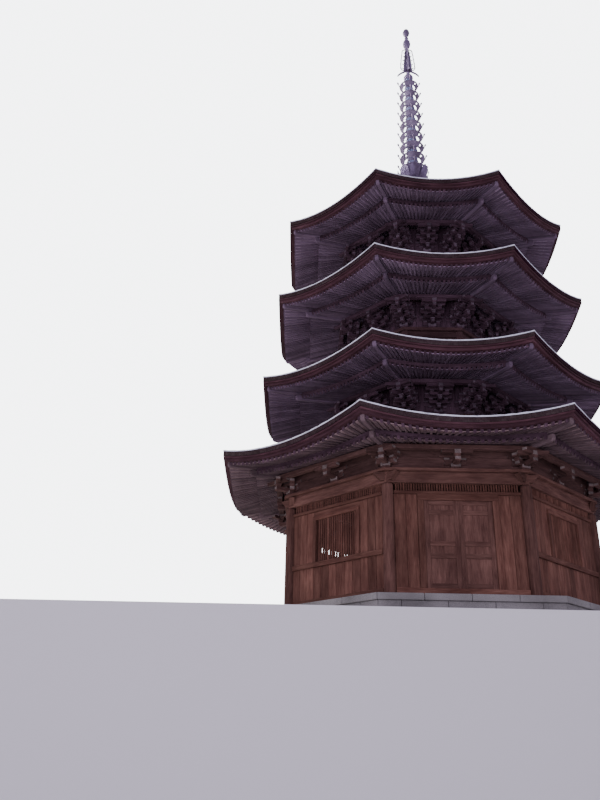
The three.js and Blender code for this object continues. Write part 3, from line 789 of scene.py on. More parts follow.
parts = bracket_ring("skirt_bracket_sets", SKIRT)
for low, high in spans(SKIRT.plate, SKIRT.purlin_top + BOARDING_RISE, FRIEZE_BOARDS):
    parts.append(ring_beam("frieze_board", BOARDING_HALF, WALL_OUT, low + 0.001, high - 0.001, 0.003))
    parts[-1].data.materials.append(dark_timber)
skirt_sets = join("skirt_bracket_sets", parts)
for slot in skirt_sets.material_slots:
    slot.material = skirt_ends if slot.material == end_grain else skirt_timber
fasten(skirt_sets, "dark_timber", skirt_timber, "skirt_brackets")
skirt_purlin = ring_beam("skirt_purlin", PURLIN_HALF, SKIRT.purlin, SKIRT.purlin_top - PURLIN_HEIGHT,
                         SKIRT.purlin_top)
fasten(skirt_purlin, "dark_timber", skirt_timber)

# Skirt eaves: two layers of rafters set out as a fan from the axis. The lower ones lie on the purlin, and the
# upper, flying ones run on from a beam on their tips to the curved eave beam. Red-brown timber, pegged.
SHINGLE_EDGE = 0.12
EAVE_BEAM = SimpleNamespace(setback=0.06, width=0.13, height=0.085)
EAVE_BOARD = SimpleNamespace(reach=0.035, height=0.024)
RAFTER_SETBACK = 0.12
RAFTER_DEPTH = 0.085
RAFTER_ROOT_SHARE = 0.62     # of its width at the tip
RAFTER_THINNING = 0.16       # towards the tip, a share of its depth
RAFTER_TIP_SLANT = 0.014
BOARDS_RISE = 0.034          # the boards lie between the rafters, this far over their underside
SHEATHING = 0.018
SHEATHING_WIDTH = 0.16
SHEATHING_SETBACK = 0.03     # from the rafters' tips
FLYING_SHARE = 0.88          # of the lower rafters' width
LAYER_RISE = 0.155
LAYER_LAP = 0.16
LAYER_BEAM = 0.10
CURVE_CUTS = 15
RAFTER_CUTS = 7
HIP = SimpleNamespace(half=0.042, drop=0.04, reach=0.09, rounding=0.06)
CORNER_CLEARANCE = 0.085     # from a corner to the nearest rafter, at the tips
ROOT_CLEARANCE = 0.02
eave_timber = timber("eave_timber", (0.045, 0.019, 0.025), (0.094, 0.039, 0.048), (0.158, 0.076, 0.085), 0.75)


def divide(piece, axis, cuts):
    """Cuts a bar across into even lengths along an axis, so that it can follow a curve"""
    return reshape(piece, "EDGE", lambda middle, run: abs(run[axis]) > 0.99,
                   bpy.ops.mesh.subdivide, number_cuts=cuts)


def add_roof(place, node, inner, lift, sag):
    """Adds a roof's sizes, read from its solid, to those of the storey that it covers"""
    low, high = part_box(node)
    start = place.purlin + PURLIN_HALF
    vars(place).update(
        node=node, inner=inner, lift=lift, sag=sag, eave=high[0], edge_top=low[2] + SHINGLE_EDGE, top=high[2],
        corner_lift=lambda out: lift * np.maximum(0.0, out - start) / (high[0] - start))
    return place


def rafter_row(name, place, width, root, tip, underside):
    """A fan of rafters between the hips of each side, from root to tip, with darker ends: painted shade on their
    cut ends
    """
    flat = box(name, (root, -width / 2, 0), (tip, width / 2, RAFTER_DEPTH))
    lay_grain(divide(flat, 0, RAFTER_CUTS))
    points = points_of(flat)
    share = (points[:, 0] - root) / (tip - root)
    points[:, 1] *= RAFTER_ROOT_SHARE + (1 - RAFTER_ROOT_SHARE) * share
    points[:, 2] += (points[:, 2] < 0.001) * RAFTER_DEPTH * RAFTER_THINNING * share ** 2
    points[:, 0] -= (points[:, 2] < RAFTER_DEPTH * 0.5) * (share > 0.999) * RAFTER_TIP_SLANT
    move_points(flat, points)
    # The tip faces take the shaded timber: painted shade on the rafters' cut ends.
    two_materials(flat, place.woods[0], dark_timber, lambda normal: normal.x > 0.9)
    edge = 1 - CORNER_CLEARANCE / (tip * HALF_SIDE)
    count = round(2 * tip * HALF_SIDE * edge / place.pitch)
    rafters = [vary(to_side(copy_of(flat), across, underside, place.corner_lift))
               for across in np.linspace(-edge, edge, count)]
    bpy.data.objects.remove(flat)
    return all_round(name, join(name, rafters))


def hip_rafter(name, place, root, tip, underside):
    """The heavier rafter at each corner, rounded off below at its tip"""
    piece = box(name, (root, -HIP.half, -HIP.drop), (tip, HIP.half, RAFTER_DEPTH))
    round_edges(piece, lambda middle, run: middle.x > tip - 0.001 and middle.z < -HIP.drop + 0.001,
                HIP.rounding, 4)
    divide(lay_grain(piece), 0, RAFTER_CUTS)
    out, along, up = points_of(piece).T
    move_points(piece, np.column_stack([out * CORNER, along, up + underside(out) + place.corner_lift(out)]))
    return all_round(name, bevel(turn_to_front(piece, 0.5), 0.006, 1))


def curved_beam(name, place, inner, outer, low, high):
    """A beam or board that follows the eave's curve, mitred at the corners"""
    piece = divide(box(name, (inner, -1, low), (outer, 1, high)), 1, CURVE_CUTS)
    return all_round(name, lay_grain(to_side(piece, lift=place.corner_lift)))


def sheathing(name, place, root, tip, underside):
    """The boards between a row of rafters, laid along the eave"""
    planks = []
    for start, end in spans(root, tip, max(3, round((tip - root) / SHEATHING_WIDTH))):
        plank = box(name, (start + 0.003, -1, BOARDS_RISE), (end, 1, BOARDS_RISE + SHEATHING))
        divide(plank, 1, CURVE_CUTS)
        planks.append(vary(lay_grain(to_side(plank, rise=underside, lift=place.corner_lift))))
    return all_round(name, join(name, planks))


def eaves(place):
    """Both layers of rafters, their hips, the beams along their tips, the thin board that juts out over the
    eave beam under the shingles, and the boards between the rafters"""
    root = max(place.inner, place.root) + ROOT_CLEARANCE
    step, tip = place.layer_step, place.eave - RAFTER_SETBACK
    lap = step - LAYER_LAP
    beam_low = place.edge_top - SHINGLE_EDGE - EAVE_BEAM.height
    rafter_wood, shade_lifted_board_wood = place.woods

    def base(out):
        return place.purlin_top - place.slope * (out - place.purlin - PURLIN_HALF)

    def flying(out):
        start = base(step) + LAYER_RISE
        return start + (beam_low - RAFTER_DEPTH - start) * (out - step) / (tip - step)

    rows = [rafter_row("base_rafters", place, place.rafter, root, step, base),
            rafter_row("flying_rafters", place, place.rafter * FLYING_SHARE, lap, tip, flying)]
    fasten(join(f"{place.name}_fan_rafters", rows), "timber", rafter_wood, f"{place.name}_eaves")
    hips = [hip_rafter("lower_hips", place, place.body, step + HIP.reach, base),
            hip_rafter("upper_hips", place, lap, tip, flying)]
    fasten(join(f"{place.name}_hip_rafters", hips), "timber", rafter_wood)
    low = base(step) + RAFTER_DEPTH
    layer_beam = curved_beam("layer_beam", place, step - LAYER_BEAM - 0.01, step - 0.01, low,
                             low + LAYER_RISE - RAFTER_DEPTH + 0.01)
    # The layer beam takes the shaded timber: painted shade on the beam between the two layers of rafters.
    fasten(layer_beam, "timber", dark_timber)
    face = place.eave - EAVE_BEAM.setback
    board_low = beam_low + EAVE_BEAM.height - EAVE_BOARD.height
    beams = [curved_beam("eave_beam", place, face - EAVE_BEAM.width, face, beam_low, board_low),
             curved_beam("eave_board", place, face - EAVE_BEAM.width, face + EAVE_BOARD.reach, board_low + 0.001,
                         board_low + EAVE_BOARD.height + 0.012)]
    fasten(join(f"{place.name}_eave_beam", beams), "timber", eave_timber)
    # The boards between the rafters take the paler sheathing wood: painted light that lifts the shade between the
    # rafters.
    layers = [sheathing("lower_boards", place, root, step - 0.06, base),
              sheathing("upper_boards", place, lap, tip - SHEATHING_SETBACK, flying)]
    fasten(join(f"{place.name}_sheathing", layers), "dark_timber", shade_lifted_board_wood)


# The skirt's sheathing wood is paler than its rafters: painted light that lifts the shade between them.
SKIRT.woods = (timber("skirt_rafters", (0.125, 0.085, 0.09), (0.185, 0.128, 0.135), (0.25, 0.18, 0.185)),
               timber("skirt_sheathing", (0.24, 0.165, 0.165), (0.35, 0.245, 0.245), (0.45, 0.325, 0.32), 0.85))
SKIRT.slope, SKIRT.layer_step, SKIRT.rafter, SKIRT.pitch, SKIRT.root = 0.35, 4.00, 0.062, 0.125, 0.0
eaves(add_roof(SKIRT, "skirt_roof", inner=1.8103, lift=0.294, sag=0.08))

# Roof covering: thin split shingles laid in close courses to a hollow curve, built up thick at the eave and
# cut off square. Frozen snow lies as a thin white lip on the top edge, as in the photograph.
COURSE = 0.075
COURSE_STEP = 0.011
EDGE_LAYERS = 5
EDGE_SETBACK = 0.008
EDGE_RECESS = 0.006
ACROSS_CUTS = 14
SNOW = SimpleNamespace(reach=0.07, height=0.022, sunk=0.012, setback=0.003, cuts=47, thinnest=0.6, unevenness=0.008)


def shingle_material(name, dark, light, width, height, joint, stretch):
    """Split wood shingles: each with its own grey-brown, dark joints between them, and weather stains"""
    material = new_material(name, 0.95, specular=0.0)
    tree = material.node_tree
    laid = grain_place(tree)
    brick = add_node(tree, "TexBrick", {
        "Vector": laid, "Scale": 1.0, "Brick Width": width, "Row Height": height, "Mortar Size": joint,
        "Color1": dark, "Color2": light, "Mortar": [0.4 * part for part in dark]})
    fibres = noise(tree, laid, 14, 6, stretch)
    streaked = blend(tree, 0.5, brick.outputs["Color"], ramp(tree, fibres, (0.3, dark), (0.7, light)))
    stained = stain(tree, streaked, 0.85, noise(tree, object_place(tree), 1.3, 8), 0.35, (0.55, 0.53, 0.52))
    return surface(material, stained, fibres, 0.5, 0.005)


def snow_material():
    material = new_material("frozen_snow", 0.6)
    tree = material.node_tree
    grains = noise(tree, object_place(tree), 35, 5)
    return surface(material, ramp(tree, grains, (0.3, (0.72, 0.76, 0.82)), (0.6, (0.92, 0.94, 0.97))), grains, 0.4,
                   0.006)


shingles = shingle_material("split_shingles", (0.075, 0.058, 0.05), (0.20, 0.165, 0.145), 0.10, COURSE, 0.003,
                            (4, 0.8, 1))
# The shingles' ends are near black: partly the darker cut ends of the layered edge, partly painted shade on the
# eave edge.
shingle_ends_painted_shade = shingle_material("shingle_ends_painted_shade", (0.020, 0.004, 0.012), (0.050, 0.012, 0.030), 0.09, 0.012, 0.0012,
                                (0.5, 9, 1))
snow = snow_material()


def everything(middle, way):
    return True


def open_ends(piece):
    """Takes off the end faces of a strip that goes on round the corner"""
    return reshape(piece, "FACE", lambda middle, normal: abs(normal.y) > 0.9, bpy.ops.mesh.delete, type="FACE")


def sheet(rows, columns):
    """A flat unit square of so many faces by so many"""
    select_only()
    bpy.ops.mesh.primitive_grid_add(x_subdivisions=rows, y_subdivisions=columns, size=1)
    return bpy.context.object


def snow_lip(place):
    """The strip of frozen snow along one side's top edge, rounded over and a little uneven"""
    outer = place.eave - SNOW.setback
    strip = box("snow", (outer - SNOW.reach, -1, -SNOW.sunk), (outer, 1, SNOW.height))
    round_edges(strip, lambda middle, run: abs(run.y) > 0.99 and middle.z > 0, 0.011, 3)
    divide(open_ends(strip), 1, SNOW.cuts)
    points = points_of(strip)
    number = np.rint((points[:, 1] + 1) / 2 * (SNOW.cuts + 1)).astype(int)
    heights = np.array([0.85] + [chance.uniform(SNOW.thinnest, 1.0) for _ in range(SNOW.cuts)] + [0.85])
    backs = np.array([0.0] + [chance.uniform(0.0, SNOW.unevenness) for _ in range(SNOW.cuts)] + [0.0])
    points[:, 2] *= np.where(points[:, 2] > 0, heights[number], 1.0)
    points[:, 0] -= backs[number]
    strip.data.materials.append(snow)
    return move_points(strip, points)


def roof_covering(place):
    """One roof: its courses stepped like saw teeth, its thick layered edge and its snow lip"""
    run = place.eave - place.inner
    count = round(run / COURSE)
    rows = 2 * count
    piece = sheet(rows, ACROSS_CUTS)
    points = points_of(piece)
    row = np.rint((points[:, 0] + 0.5) * rows).astype(int)
    course = (rows - row) // 2
    upper = (rows - row) % 2
    back = np.minimum(course + upper, count) * run / count
    points[:, 0] = place.eave - back + upper * 0.003
    points[:, 1] *= 2
    points[:, 2] = -upper * COURSE_STEP
    move_points(piece, points)
    extrude(piece, "FACE", everything, (0, 0, COURSE_STEP - SHINGLE_EDGE))
    reshape(piece, "FACE", everything, bpy.ops.mesh.normals_make_consistent, inside=False)
    reshape(open_ends(piece), "EDGE", lambda middle, run: middle.x > place.eave - 0.002 and abs(run.z) > 0.99,
            bpy.ops.mesh.subdivide, number_cuts=2 * EDGE_LAYERS - 1)
    points = points_of(piece)
    at_edge = points[:, 0] > place.eave - 0.002
    layer = np.rint(-points[:, 2] / (SHINGLE_EDGE - COURSE_STEP) * 2 * EDGE_LAYERS).astype(int)
    points[:, 0] -= at_edge * (EDGE_SETBACK + EDGE_RECESS * (layer % 2))
    move_points(piece, points)
    # Faces that don't look up, the eave edge and the steps of the courses, get the near-black ends: partly darker
    # cut ends, partly painted shade.
    two_materials(piece, shingles, shingle_ends_painted_shade, lambda normal: normal.z <= 0.3)
    mesh = piece.data
    laid = mesh.uv_layers.active or mesh.uv_layers.new(name="UVMap")
    for loop in mesh.loops:
        out, share, up = mesh.vertices[loop.vertex_index].co
        laid.data[loop.index].uv = (share * out * HALF_SIDE, out - place.eave - up)

    def share_of(out):
        return np.clip((place.eave - out) / run, 0, 1)

    def rise(out):
        share = share_of(out)
        return place.edge_top + share * (place.top - place.edge_top) - place.sag * share * (1 - share) * run

    def lift(out):
        return place.lift * (1 - share_of(out)) ** 1.5

    parts = [all_round("courses", to_side(piece, rise=rise, lift=lift))]
    parts.append(all_round("snow", to_side(snow_lip(place), rise=rise, lift=lift)))
    covering = join(place.node + "_covering", parts)
    reshape(covering, "FACE", everything, bpy.ops.mesh.remove_doubles, threshold=0.0002)
    return fasten(covering, "shingles", shingles, place.node)


roof_covering(SKIRT)

# Tower walls: three low storeys, each a curb on the roof below, round corner columns with a tie through
# them, a flat plate on top and upright boards between. Their shaft inside is open.
COLUMN_RADIUS = 0.095
CURB_REACH = 0.16
CURB_DEPTH = 0.30
CURB_TOPS = [4.40, 6.37, 8.59]
PLATE_THICKNESS = 0.08
STOREY_PLATE_HALF = 0.13
TIE = SimpleNamespace(half=0.06, height=0.15)
LAYER_STEPS = [3.08, 2.88, 2.70]       # how far out the lower rafters end
STOREY_BOARDING_RISE = 0.15
TOWER_BOARD = SimpleNamespace(width=0.14, gap_half=0.002)

tower_boards = timber("tower_boards", (0.042, 0.021, 0.022), (0.092, 0.047, 0.047), (0.15, 0.083, 0.080), 0.85)
pale_rafters = timber("weathered_rafters", (0.15, 0.105, 0.145), (0.22, 0.155, 0.212), (0.30, 0.215, 0.29))
# The sheathing wood is far paler than the rafters: painted light that lifts the shade in the gaps between them.
shade_lifted_boards = timber("sheathing_painted_light", (0.28, 0.20, 0.268), (0.41, 0.295, 0.39), (0.53, 0.39, 0.51), 0.85)


def boarding(place, low, high):
    """Upright boards round the octagon, behind the brackets or between columns"""
    half_side = place.body * HALF_SIDE
    gap = TOWER_BOARD.gap_half / half_side
    parts = []
    for start, end in spans(-1, 1, max(3, round(2 * half_side / TOWER_BOARD.width))):
        plank = box("plank", (place.body - BOARDING_HALF, start + gap, low),
                    (place.body + BOARDING_HALF, end - gap, high))
        parts.append(vary(lay_grain(bevel(to_side(plank), 0.004, 1), 2)))
    return all_round("boarding", join("boarding", parts))


storeys = []
for number, layer_step, curb_top in zip((1, 2, 3), LAYER_STEPS, CURB_TOPS):
    wall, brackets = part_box(f"storey_{number}_wall"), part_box(f"storey_{number}_brackets")
    body = wall[1][0] - CURB_REACH
    storeys.append(SimpleNamespace(
        name=f"storey_{number}", body=body, foot=wall[0][2], plate=wall[1][2], root=body + 0.025,
        purlin=brackets[1][0] - PURLIN_HALF, purlin_top=brackets[1][2] - STOREY_BOARDING_RISE, steps=3,
        slope=0.26, layer_step=layer_step, rafter=0.052, pitch=0.098, arm=0.074, block=0.108, arm_share=0.58,
        curb_top=curb_top, woods=(pale_rafters, shade_lifted_boards)))

for place in storeys:
    beam_low = place.plate - PLATE_THICKNESS
    curb_middle = place.body + CURB_REACH - CURB_DEPTH / 2
    curb = ring_beam("curb", CURB_DEPTH / 2, curb_middle, place.foot, place.curb_top, 0.012)
    column = round_bar("column", COLUMN_RADIUS, place.curb_top - 0.01, beam_low, corner_spot(place.body))
    parts = [curb, all_round("columns", lay_grain(bevel(column, COLUMN_EDGE, 3), 2))]
    parts.append(ring_beam("tie", TIE.half, place.body, beam_low - TIE.height, beam_low))
    parts.append(ring_beam("plate", STOREY_PLATE_HALF, place.body, beam_low, place.plate))
    parts.append(boarding(place, place.curb_top - 0.01, beam_low))
    fasten(join(f"{place.name}_framed_wall", parts), "boards", tower_boards, f"{place.name}_wall")

# Tower brackets: under each of the three upper roofs, at every corner and mid side, sets of blocks and
# boat-shaped arms step out three times to the purlin, dark in the eaves' shade.
for place in storeys:
    parts = bracket_ring("bracket_sets", place)
    parts.append(boarding(place, place.plate, place.purlin_top + STOREY_BOARDING_RISE))
    parts[-1].data.materials.append(dark_timber)
    fasten(join(f"{place.name}_bracket_sets", parts), "dark_timber", dark_timber, f"{place.name}_brackets")
    purlin = ring_beam(f"{place.name}_purlin", PURLIN_HALF, place.purlin,
                       place.purlin_top - PURLIN_HEIGHT, place.purlin_top)
    fasten(purlin, "dark_timber", dark_timber)

# Tower eaves and roofs: the same two layers of fan rafters, more slender and closer, and the same shingles.
# The top roof rises to the finial's box.
add_roof(storeys[0], "storey_1_roof", inner=1.6903, lift=0.25, sag=0.09)
add_roof(storeys[1], "storey_2_roof", inner=1.5903, lift=0.25, sag=0.09)
add_roof(storeys[2], "storey_3_roof", inner=0.33, lift=0.29, sag=0.16)
for place in storeys:
    eaves(place)
    roof_covering(place)

# Finial foot: a square-edged eight-sided bronze box with sunk panels on the top roof, an upturned bowl on it
# and a double ring of raised lotus petals. Cast bronze, dark and a little purple.
BOX = SimpleNamespace(low=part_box("finial_box")[0][2], high=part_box("finial_box")[1][2], body=0.37, cap=0.43)
CAP_HEIGHT = 0.09
PANEL = SimpleNamespace(frame=0.035, edge=0.006, sunk=0.015)
BOWL_RADIUS = 0.33
BOWL_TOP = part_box("finial_bowl")[1][2]
BOWL_HEIGHT = BOWL_TOP - BOX.high
BOWL = [(0, 0), (0.96, 0), (1, 0.02), (1, 0.045), (0.95, 0.055), (0.94, 0.13), (0.84, 0.20), (0.66, 0.255),
        (0.42, 0.285), (0.4, BOWL_HEIGHT), (0, BOWL_HEIGHT)]      # shares of the radius, and heights
LOTUS_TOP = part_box("finial_lotus")[1][2]
LOTUS_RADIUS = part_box("finial_lotus")[1][0]
PETAL_RINGS = [(LOTUS_RADIUS - 0.005, LOTUS_TOP - 0.004, 0.0), (LOTUS_RADIUS * 0.8, LOTUS_TOP - 0.05, 0.5)]
PETAL_HALF = 0.135
PETAL_ROOT = 0.14
PETAL_CURL = 0.03
CUP_HEIGHT = 0.165
CUP = [(0, 0), (0.15, 0), (0.17, 0.03), (0.15, 0.06), (0.20, 0.12), (0.22, 0.15), (0.15, CUP_HEIGHT),
       (0, CUP_HEIGHT)]


def bronze(name, dark, middle, light):
    """Old cast bronze: dark patina with paler rubbed and weathered patches and a fine cast surface"""
    material = new_material(name, 0.55, 0.45)
    tree = material.node_tree
    place = object_place(tree)
    patina = ramp(tree, noise(tree, place, 4.0, 9), (0.32, dark), (0.52, middle), (0.72, light))
    runs = stain(tree, patina, 0.7, noise(tree, place, 7.0, 5, (3, 3, 0.3)), 0.4, (0.6, 0.6, 0.62))
    return surface(material, runs, noise(tree, place, 60, 4), 0.25, 0.003)


def start_outline(name, outline, base):
    """A chain of edges in the X-Z plane, its heights counted from a base, left in edit mode"""
    select_only()
    bpy.ops.mesh.primitive_plane_add(size=0.01)
    piece = bpy.context.object
    piece.name = name
    bpy.ops.object.mode_set(mode="EDIT")
    bpy.ops.mesh.select_mode(type="VERT")
    bpy.ops.mesh.select_all(action="SELECT")
    bpy.ops.mesh.merge(type="CENTER")
    bpy.ops.transform.translate(value=(outline[0][0], 0, base + outline[0][1]))
    for (radius, height), (next_radius, next_height) in zip(outline, outline[1:]):
        step = (next_radius - radius, 0, next_height - height)
        bpy.ops.mesh.extrude_vertices_move(TRANSFORM_OT_translate={"value": step})
    bpy.ops.mesh.select_all(action="SELECT")
    return piece


def turned(name, outline, base=0.0, steps=32, smooth=35):
    """A round piece turned from an outline of (radius, height) points"""
    piece = start_outline(name, outline, base)
    bpy.ops.mesh.spin(steps=steps, angle=2 * math.pi, center=(0, 0, 0), axis=(0, 0, 1))
    bpy.ops.mesh.select_all(action="SELECT")
    bpy.ops.mesh.remove_doubles(threshold=0.0001)
    bpy.ops.mesh.normals_make_consistent(inside=False)
    bpy.ops.object.mode_set(mode="OBJECT")
    bpy.ops.object.shade_smooth_by_angle(angle=math.radians(smooth))
    return piece


def sink_panels():
    bpy.ops.mesh.inset(thickness=PANEL.frame, use_individual=True)
    bpy.ops.mesh.inset(thickness=PANEL.edge, depth=-PANEL.sunk, use_individual=True)


old_bronze = bronze("patinated_bronze", (0.16, 0.12, 0.18), (0.30, 0.24, 0.36), (0.46, 0.39, 0.54))

cap_low = BOX.high - CAP_HEIGHT
foot = round_bar("box_body", BOX.body * CORNER, BOX.low, cap_low + 0.01, sides=8, turn=SIDE_ANGLE / 2)
reshape(foot, "FACE", lambda middle, normal: abs(normal.z) < 0.1, sink_panels)
cap = round_bar("box_cap", BOX.cap * CORNER, cap_low, BOX.high, sides=8, turn=SIDE_ANGLE / 2)
reshape(cap, "FACE", lambda middle, normal: normal.z > 0.9, bpy.ops.mesh.inset, thickness=0.03, depth=0.0)
fasten(join("eight_sided_box", [foot, bevel(cap, 0.01, 2)]), "bronze", old_bronze, "finial_box")

bowl = turned("upturned_bowl", [(BOWL_RADIUS * share, height) for share, height in BOWL], BOX.high)
fasten(bowl, "bronze", old_bronze, "finial_bowl")


def petal(reach, low, high):
    """A lotus petal: a sheet that curls out and up to a point, with its edges turned in"""
    piece = sheet(8, 6)
    points = points_of(piece)
    share = points[:, 0] + 0.5
    across = points[:, 1] * 2
    half = PETAL_HALF * np.sqrt(np.clip(1 - (share * 1.02) ** 4, 0.0, 1)) * (0.75 + 0.5 * share)
    out = PETAL_ROOT + (reach - PETAL_ROOT) * np.sin(share * math.pi / 2) + 0.02 * across ** 2 * (share > 0)
    up = low + (high - low) * share ** 1.5 + PETAL_CURL * across ** 2 * share
    move_points(piece, np.column_stack([np.minimum(out, LOTUS_RADIUS - 0.004), across * half, up]))
    return apply(piece, "SOLIDIFY", thickness=0.01, offset=-1)


parts = [all_round("petals", turn_to_front(petal(reach, BOWL_TOP + 0.03, high), sides))
         for reach, high, sides in PETAL_RINGS]
parts.append(turned("lotus_cup", CUP, BOWL_TOP))
fasten(join("lotus_petals", parts), "bronze", old_bronze, "finial_lotus")

# Nine rings: a tapering bronze sleeve on the mast, and on it nine rings that grow smaller upwards. Each is a
# thin splayed band with a beaded rim, held by four spokes, with four round holes and four budded horns.
RING_COUNT = 9
FIRST_RIM = 13.01
RING_PITCH = 0.4055
RING_RADII = (0.370, 0.280)
RING_FOOT, RING_DEPTH = 0.67, 0.335      # shares of the rim's radius
BEAD_START = 0.84                        # a share of the band's slope
BAND_THICKNESS = 0.007
HOLE_RADIUS = 0.08                       # a share of the rim's radius too
SPOKE_HALF = 0.006
SLEEVE_RADII = (0.16, 0.115)
SLEEVE_LOW, SLEEVE_TOP = BOWL_TOP + CUP_HEIGHT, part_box("finial_rings")[1][2]
TAPER_LOW, TAPER_TOP = SLEEVE_LOW + 0.1, SLEEVE_TOP - 0.05
HORN = [(0, 0), (0.016, 0), (0.012, 0.09), (0.016, 0.12), (0.029, 0.15), (0.023, 0.176), (0.004, 0.205),
        (0, 0.205)]
HORN_LEAN = math.radians(20)
# The sleeve's bronze is pale and blue: a painted reflection of the sky.
sky_reflecting_sleeve_bronze = bronze("sleeve_bronze_with_painted_sky", (0.14, 0.155, 0.25), (0.25, 0.275, 0.42), (0.40, 0.43, 0.62))
ring_bronze = bronze("ring_bronze", (0.19, 0.145, 0.21), (0.33, 0.26, 0.37), (0.48, 0.40, 0.53))


def band_holes(radius, foot, low, high):
    """Four short bars, square to the band's slope, that cut its holes"""
    select_only()
    bpy.ops.mesh.primitive_cylinder_add(
        vertices=14, radius=radius * HOLE_RADIUS, depth=0.1, location=((foot + radius) / 2, 0, (low + high) / 2),
        rotation=(0, math.atan2(high - low, foot - radius), 0))
    return join("cutters", copies_round(settle("cutter"), 4, FRONT + math.pi / 4))


def splayed_ring(number):
    """One ring of the nine, counted from the lowest, with its spokes, collar and horns"""
    radius = RING_RADII[0] + (RING_RADII[1] - RING_RADII[0]) * number / (RING_COUNT - 1)
    foot, high = radius * RING_FOOT, FIRST_RIM + number * RING_PITCH
    low = high - radius * RING_DEPTH
    shoulder, bead_low = foot + (radius - foot) * BEAD_START, low + (high - low) * BEAD_START
    band = turned("band", [
        (foot - BAND_THICKNESS, low), (foot, low), (shoulder, bead_low), (shoulder + 0.003, bead_low),
        (radius, high - 0.004), (radius, high), (radius - BAND_THICKNESS, high), (foot - BAND_THICKNESS, low)],
        0.0, 40, 25)
    cutters = band_holes(radius, foot, low, high)
    apply(band, "BOOLEAN", operation="DIFFERENCE", solver="EXACT", object=cutters)
    bpy.data.objects.remove(cutters)
    spoke = bevel(box("spoke", (-foot, -SPOKE_HALF, low + 0.002), (foot, SPOKE_HALF, low + 0.016)), 0.003, 1)
    spokes = [spoke, copy_of(spoke, Matrix.Rotation(math.pi / 2, 4, "Z"))]
    hub = np.interp(low, (TAPER_LOW, TAPER_TOP), SLEEVE_RADII)
    collar = turned("collar", [
        (hub - 0.02, -0.02), (hub + 0.006, -0.02), (hub + 0.014, 0.016), (hub + 0.006, 0.052), (hub - 0.02, 0.052),
        (hub - 0.02, -0.02)], low, 24, 25)
    horn = turned("horn", HORN, steps=8)
    horn.data.transform(Matrix.Translation((radius - 0.008, 0, high - 0.012)) @ Matrix.Rotation(HORN_LEAN, 4, "Y"))
    return join("ring", [band, collar, *copies_round(horn, 4, FRONT), *spokes])


sleeve = turned("sleeve", [
    (0, SLEEVE_LOW), (SLEEVE_RADII[0], SLEEVE_LOW), (SLEEVE_RADII[0], TAPER_LOW), (SLEEVE_RADII[1], TAPER_TOP),
    (SLEEVE_RADII[1] + 0.01, TAPER_TOP + 0.02), (SLEEVE_RADII[1], SLEEVE_TOP), (0, SLEEVE_TOP)], steps=24)
fasten(sleeve, "bronze", sky_reflecting_sleeve_bronze)
rings = join("nine_rings", [splayed_ring(number) for number in range(RING_COUNT)])
fasten(rings, "bronze", ring_bronze, "finial_rings")

# Top of the finial: a ball on the sleeve, four arched arms and four flame wings round the mast above it, and
# the long and the round jewel that end it. Cast and hammered bronze on the same mast.
FLAME_FOOT, FLAME_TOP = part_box("finial_canopy")[1][2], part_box("finial_flame")[1][2]
NECK_HEIGHT, FLAME_HEIGHT = FLAME_FOOT - SLEEVE_TOP, FLAME_TOP - FLAME_FOOT
JEWELS_HEIGHT = cad_high[2] - FLAME_TOP
BALL = [
    (0, 0), (0.085, 0), (0.08, 0.02), (0.115, 0.045), (0.142, 0.09), (0.142, 0.13), (0.12, 0.185), (0.08, 0.225),
    (0.055, 0.25), (0.045, 0.29), (0.06, 0.33), (0.045, 0.36), (0.045, NECK_HEIGHT), (0, NECK_HEIGHT)]
ARCHED_ARM = [
    (0.03, -0.015), (0.09, -0.025), (0.16, -0.06), (0.23, -0.108), (0.29, -0.165), (0.318, -0.205), (0.335, -0.175),
    (0.31, -0.125), (0.25, -0.06), (0.18, -0.005), (0.10, 0.028), (0.03, 0.042)]
TRUNK = [
    (0.02, 0.03), (0.10, 0.05), (0.138, 0.10), (0.122, 0.17), (0.134, 0.24), (0.115, 0.31), (0.124, 0.38),
    (0.104, 0.45), (0.112, 0.52), (0.093, 0.59), (0.10, 0.66), (0.082, 0.73), (0.088, 0.80), (0.07, 0.87),
    (0.05, 0.925), (0.02, 0.935)]
FLAME_FRAME = [
    (0.035, 0.02), (0.12, 0.03), (0.20, 0.08), (0.235, 0.16), (0.222, 0.26), (0.229, 0.34), (0.208, 0.43),
    (0.212, 0.51), (0.191, 0.60), (0.194, 0.68), (0.172, 0.77), (0.17, 0.85), (0.148, 0.915), (0.09, 0.95),
    (0.035, 0.955)]
FRAME_WIDTH = 0.026
TONGUES = [(0.10, 0.19), (0.27, 0.18), (0.44, 0.165), (0.61, 0.14), (0.77, 0.11)]      # height and reach
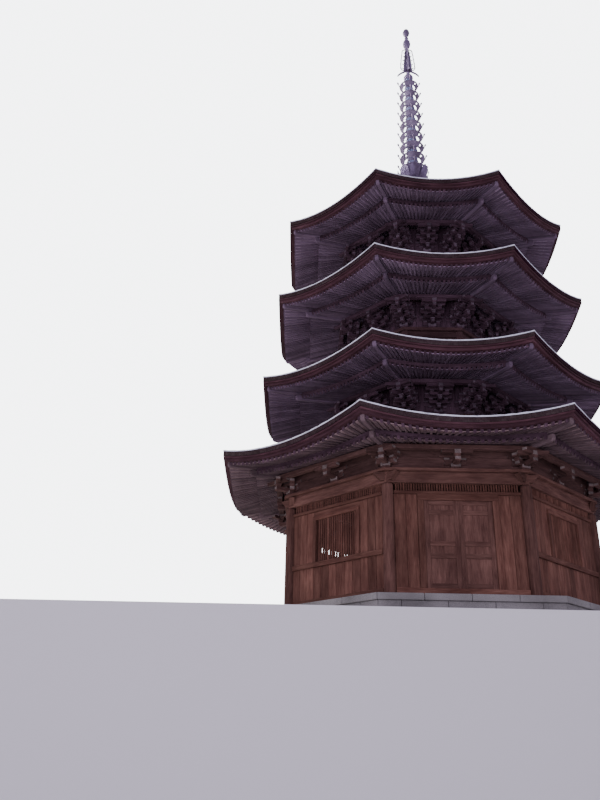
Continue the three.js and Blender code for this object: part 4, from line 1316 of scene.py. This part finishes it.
MAST = [(0, 0), (0.055, 0), (0.05, 0.03), (0.036, 0.06), (0.034, FLAME_HEIGHT - 0.04),
        (0.045, FLAME_HEIGHT - 0.02), (0.045, FLAME_HEIGHT), (0, FLAME_HEIGHT)]
JEWELS = [
    (0, 0), (0.05, 0), (0.06, 0.02), (0.08, 0.05), (0.11, 0.13), (0.119, 0.20), (0.108, 0.28), (0.078, 0.35),
    (0.052, 0.385), (0.046, 0.42), (0.062, 0.455), (0.046, 0.49), (0.046, 0.53), (0.06, 0.57), (0.09, 0.61),
    (0.108, 0.68), (0.102, 0.73), (0.078, 0.79), (0.042, 0.84), (0.015, JEWELS_HEIGHT - 0.015),
    (0, JEWELS_HEIGHT - 0.001)]

fasten(turned("ball_and_neck", BALL, SLEEVE_TOP), "bronze", old_bronze, "finial_canopy")


def plate(name, outline, thickness, frame=0.0):
    """A flat plate of a closed outline in the X-Z plane over the flame's foot, or only its frame"""
    piece = start_outline(name, outline, FLAME_FOOT)
    bpy.ops.mesh.edge_face_add()
    if frame:
        bpy.ops.mesh.inset(thickness=frame)
        bpy.ops.mesh.delete(type="FACE")
    bpy.ops.object.mode_set(mode="OBJECT")
    return apply(piece, "SOLIDIFY", thickness=thickness, offset=0.0)


wing_parts = [plate("arm", ARCHED_ARM, 0.03), plate("trunk", TRUNK, 0.022)]
wing_parts.append(plate("frame", FLAME_FRAME, 0.022, FRAME_WIDTH))
for height, reach in TONGUES:
    tongue = [(0.09, height - 0.02), (reach, height + 0.06), (reach - 0.008, height + 0.085), (0.09, height + 0.03)]
    wing_parts.append(plate("tongue", tongue, 0.012))
wing = bevel(join("wing", wing_parts), 0.003, 1)
wings = join("wings", copies_round(wing, 4, FRONT))
mast = turned("mast", MAST, FLAME_FOOT, 20)
fasten(join("flame_wings", [wings, mast]), "bronze", old_bronze, "finial_flame")

jewels = turned("long_and_round_jewel", JEWELS, FLAME_TOP)
fasten(jewels, "bronze", old_bronze, "finial_jewels")

low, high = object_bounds()
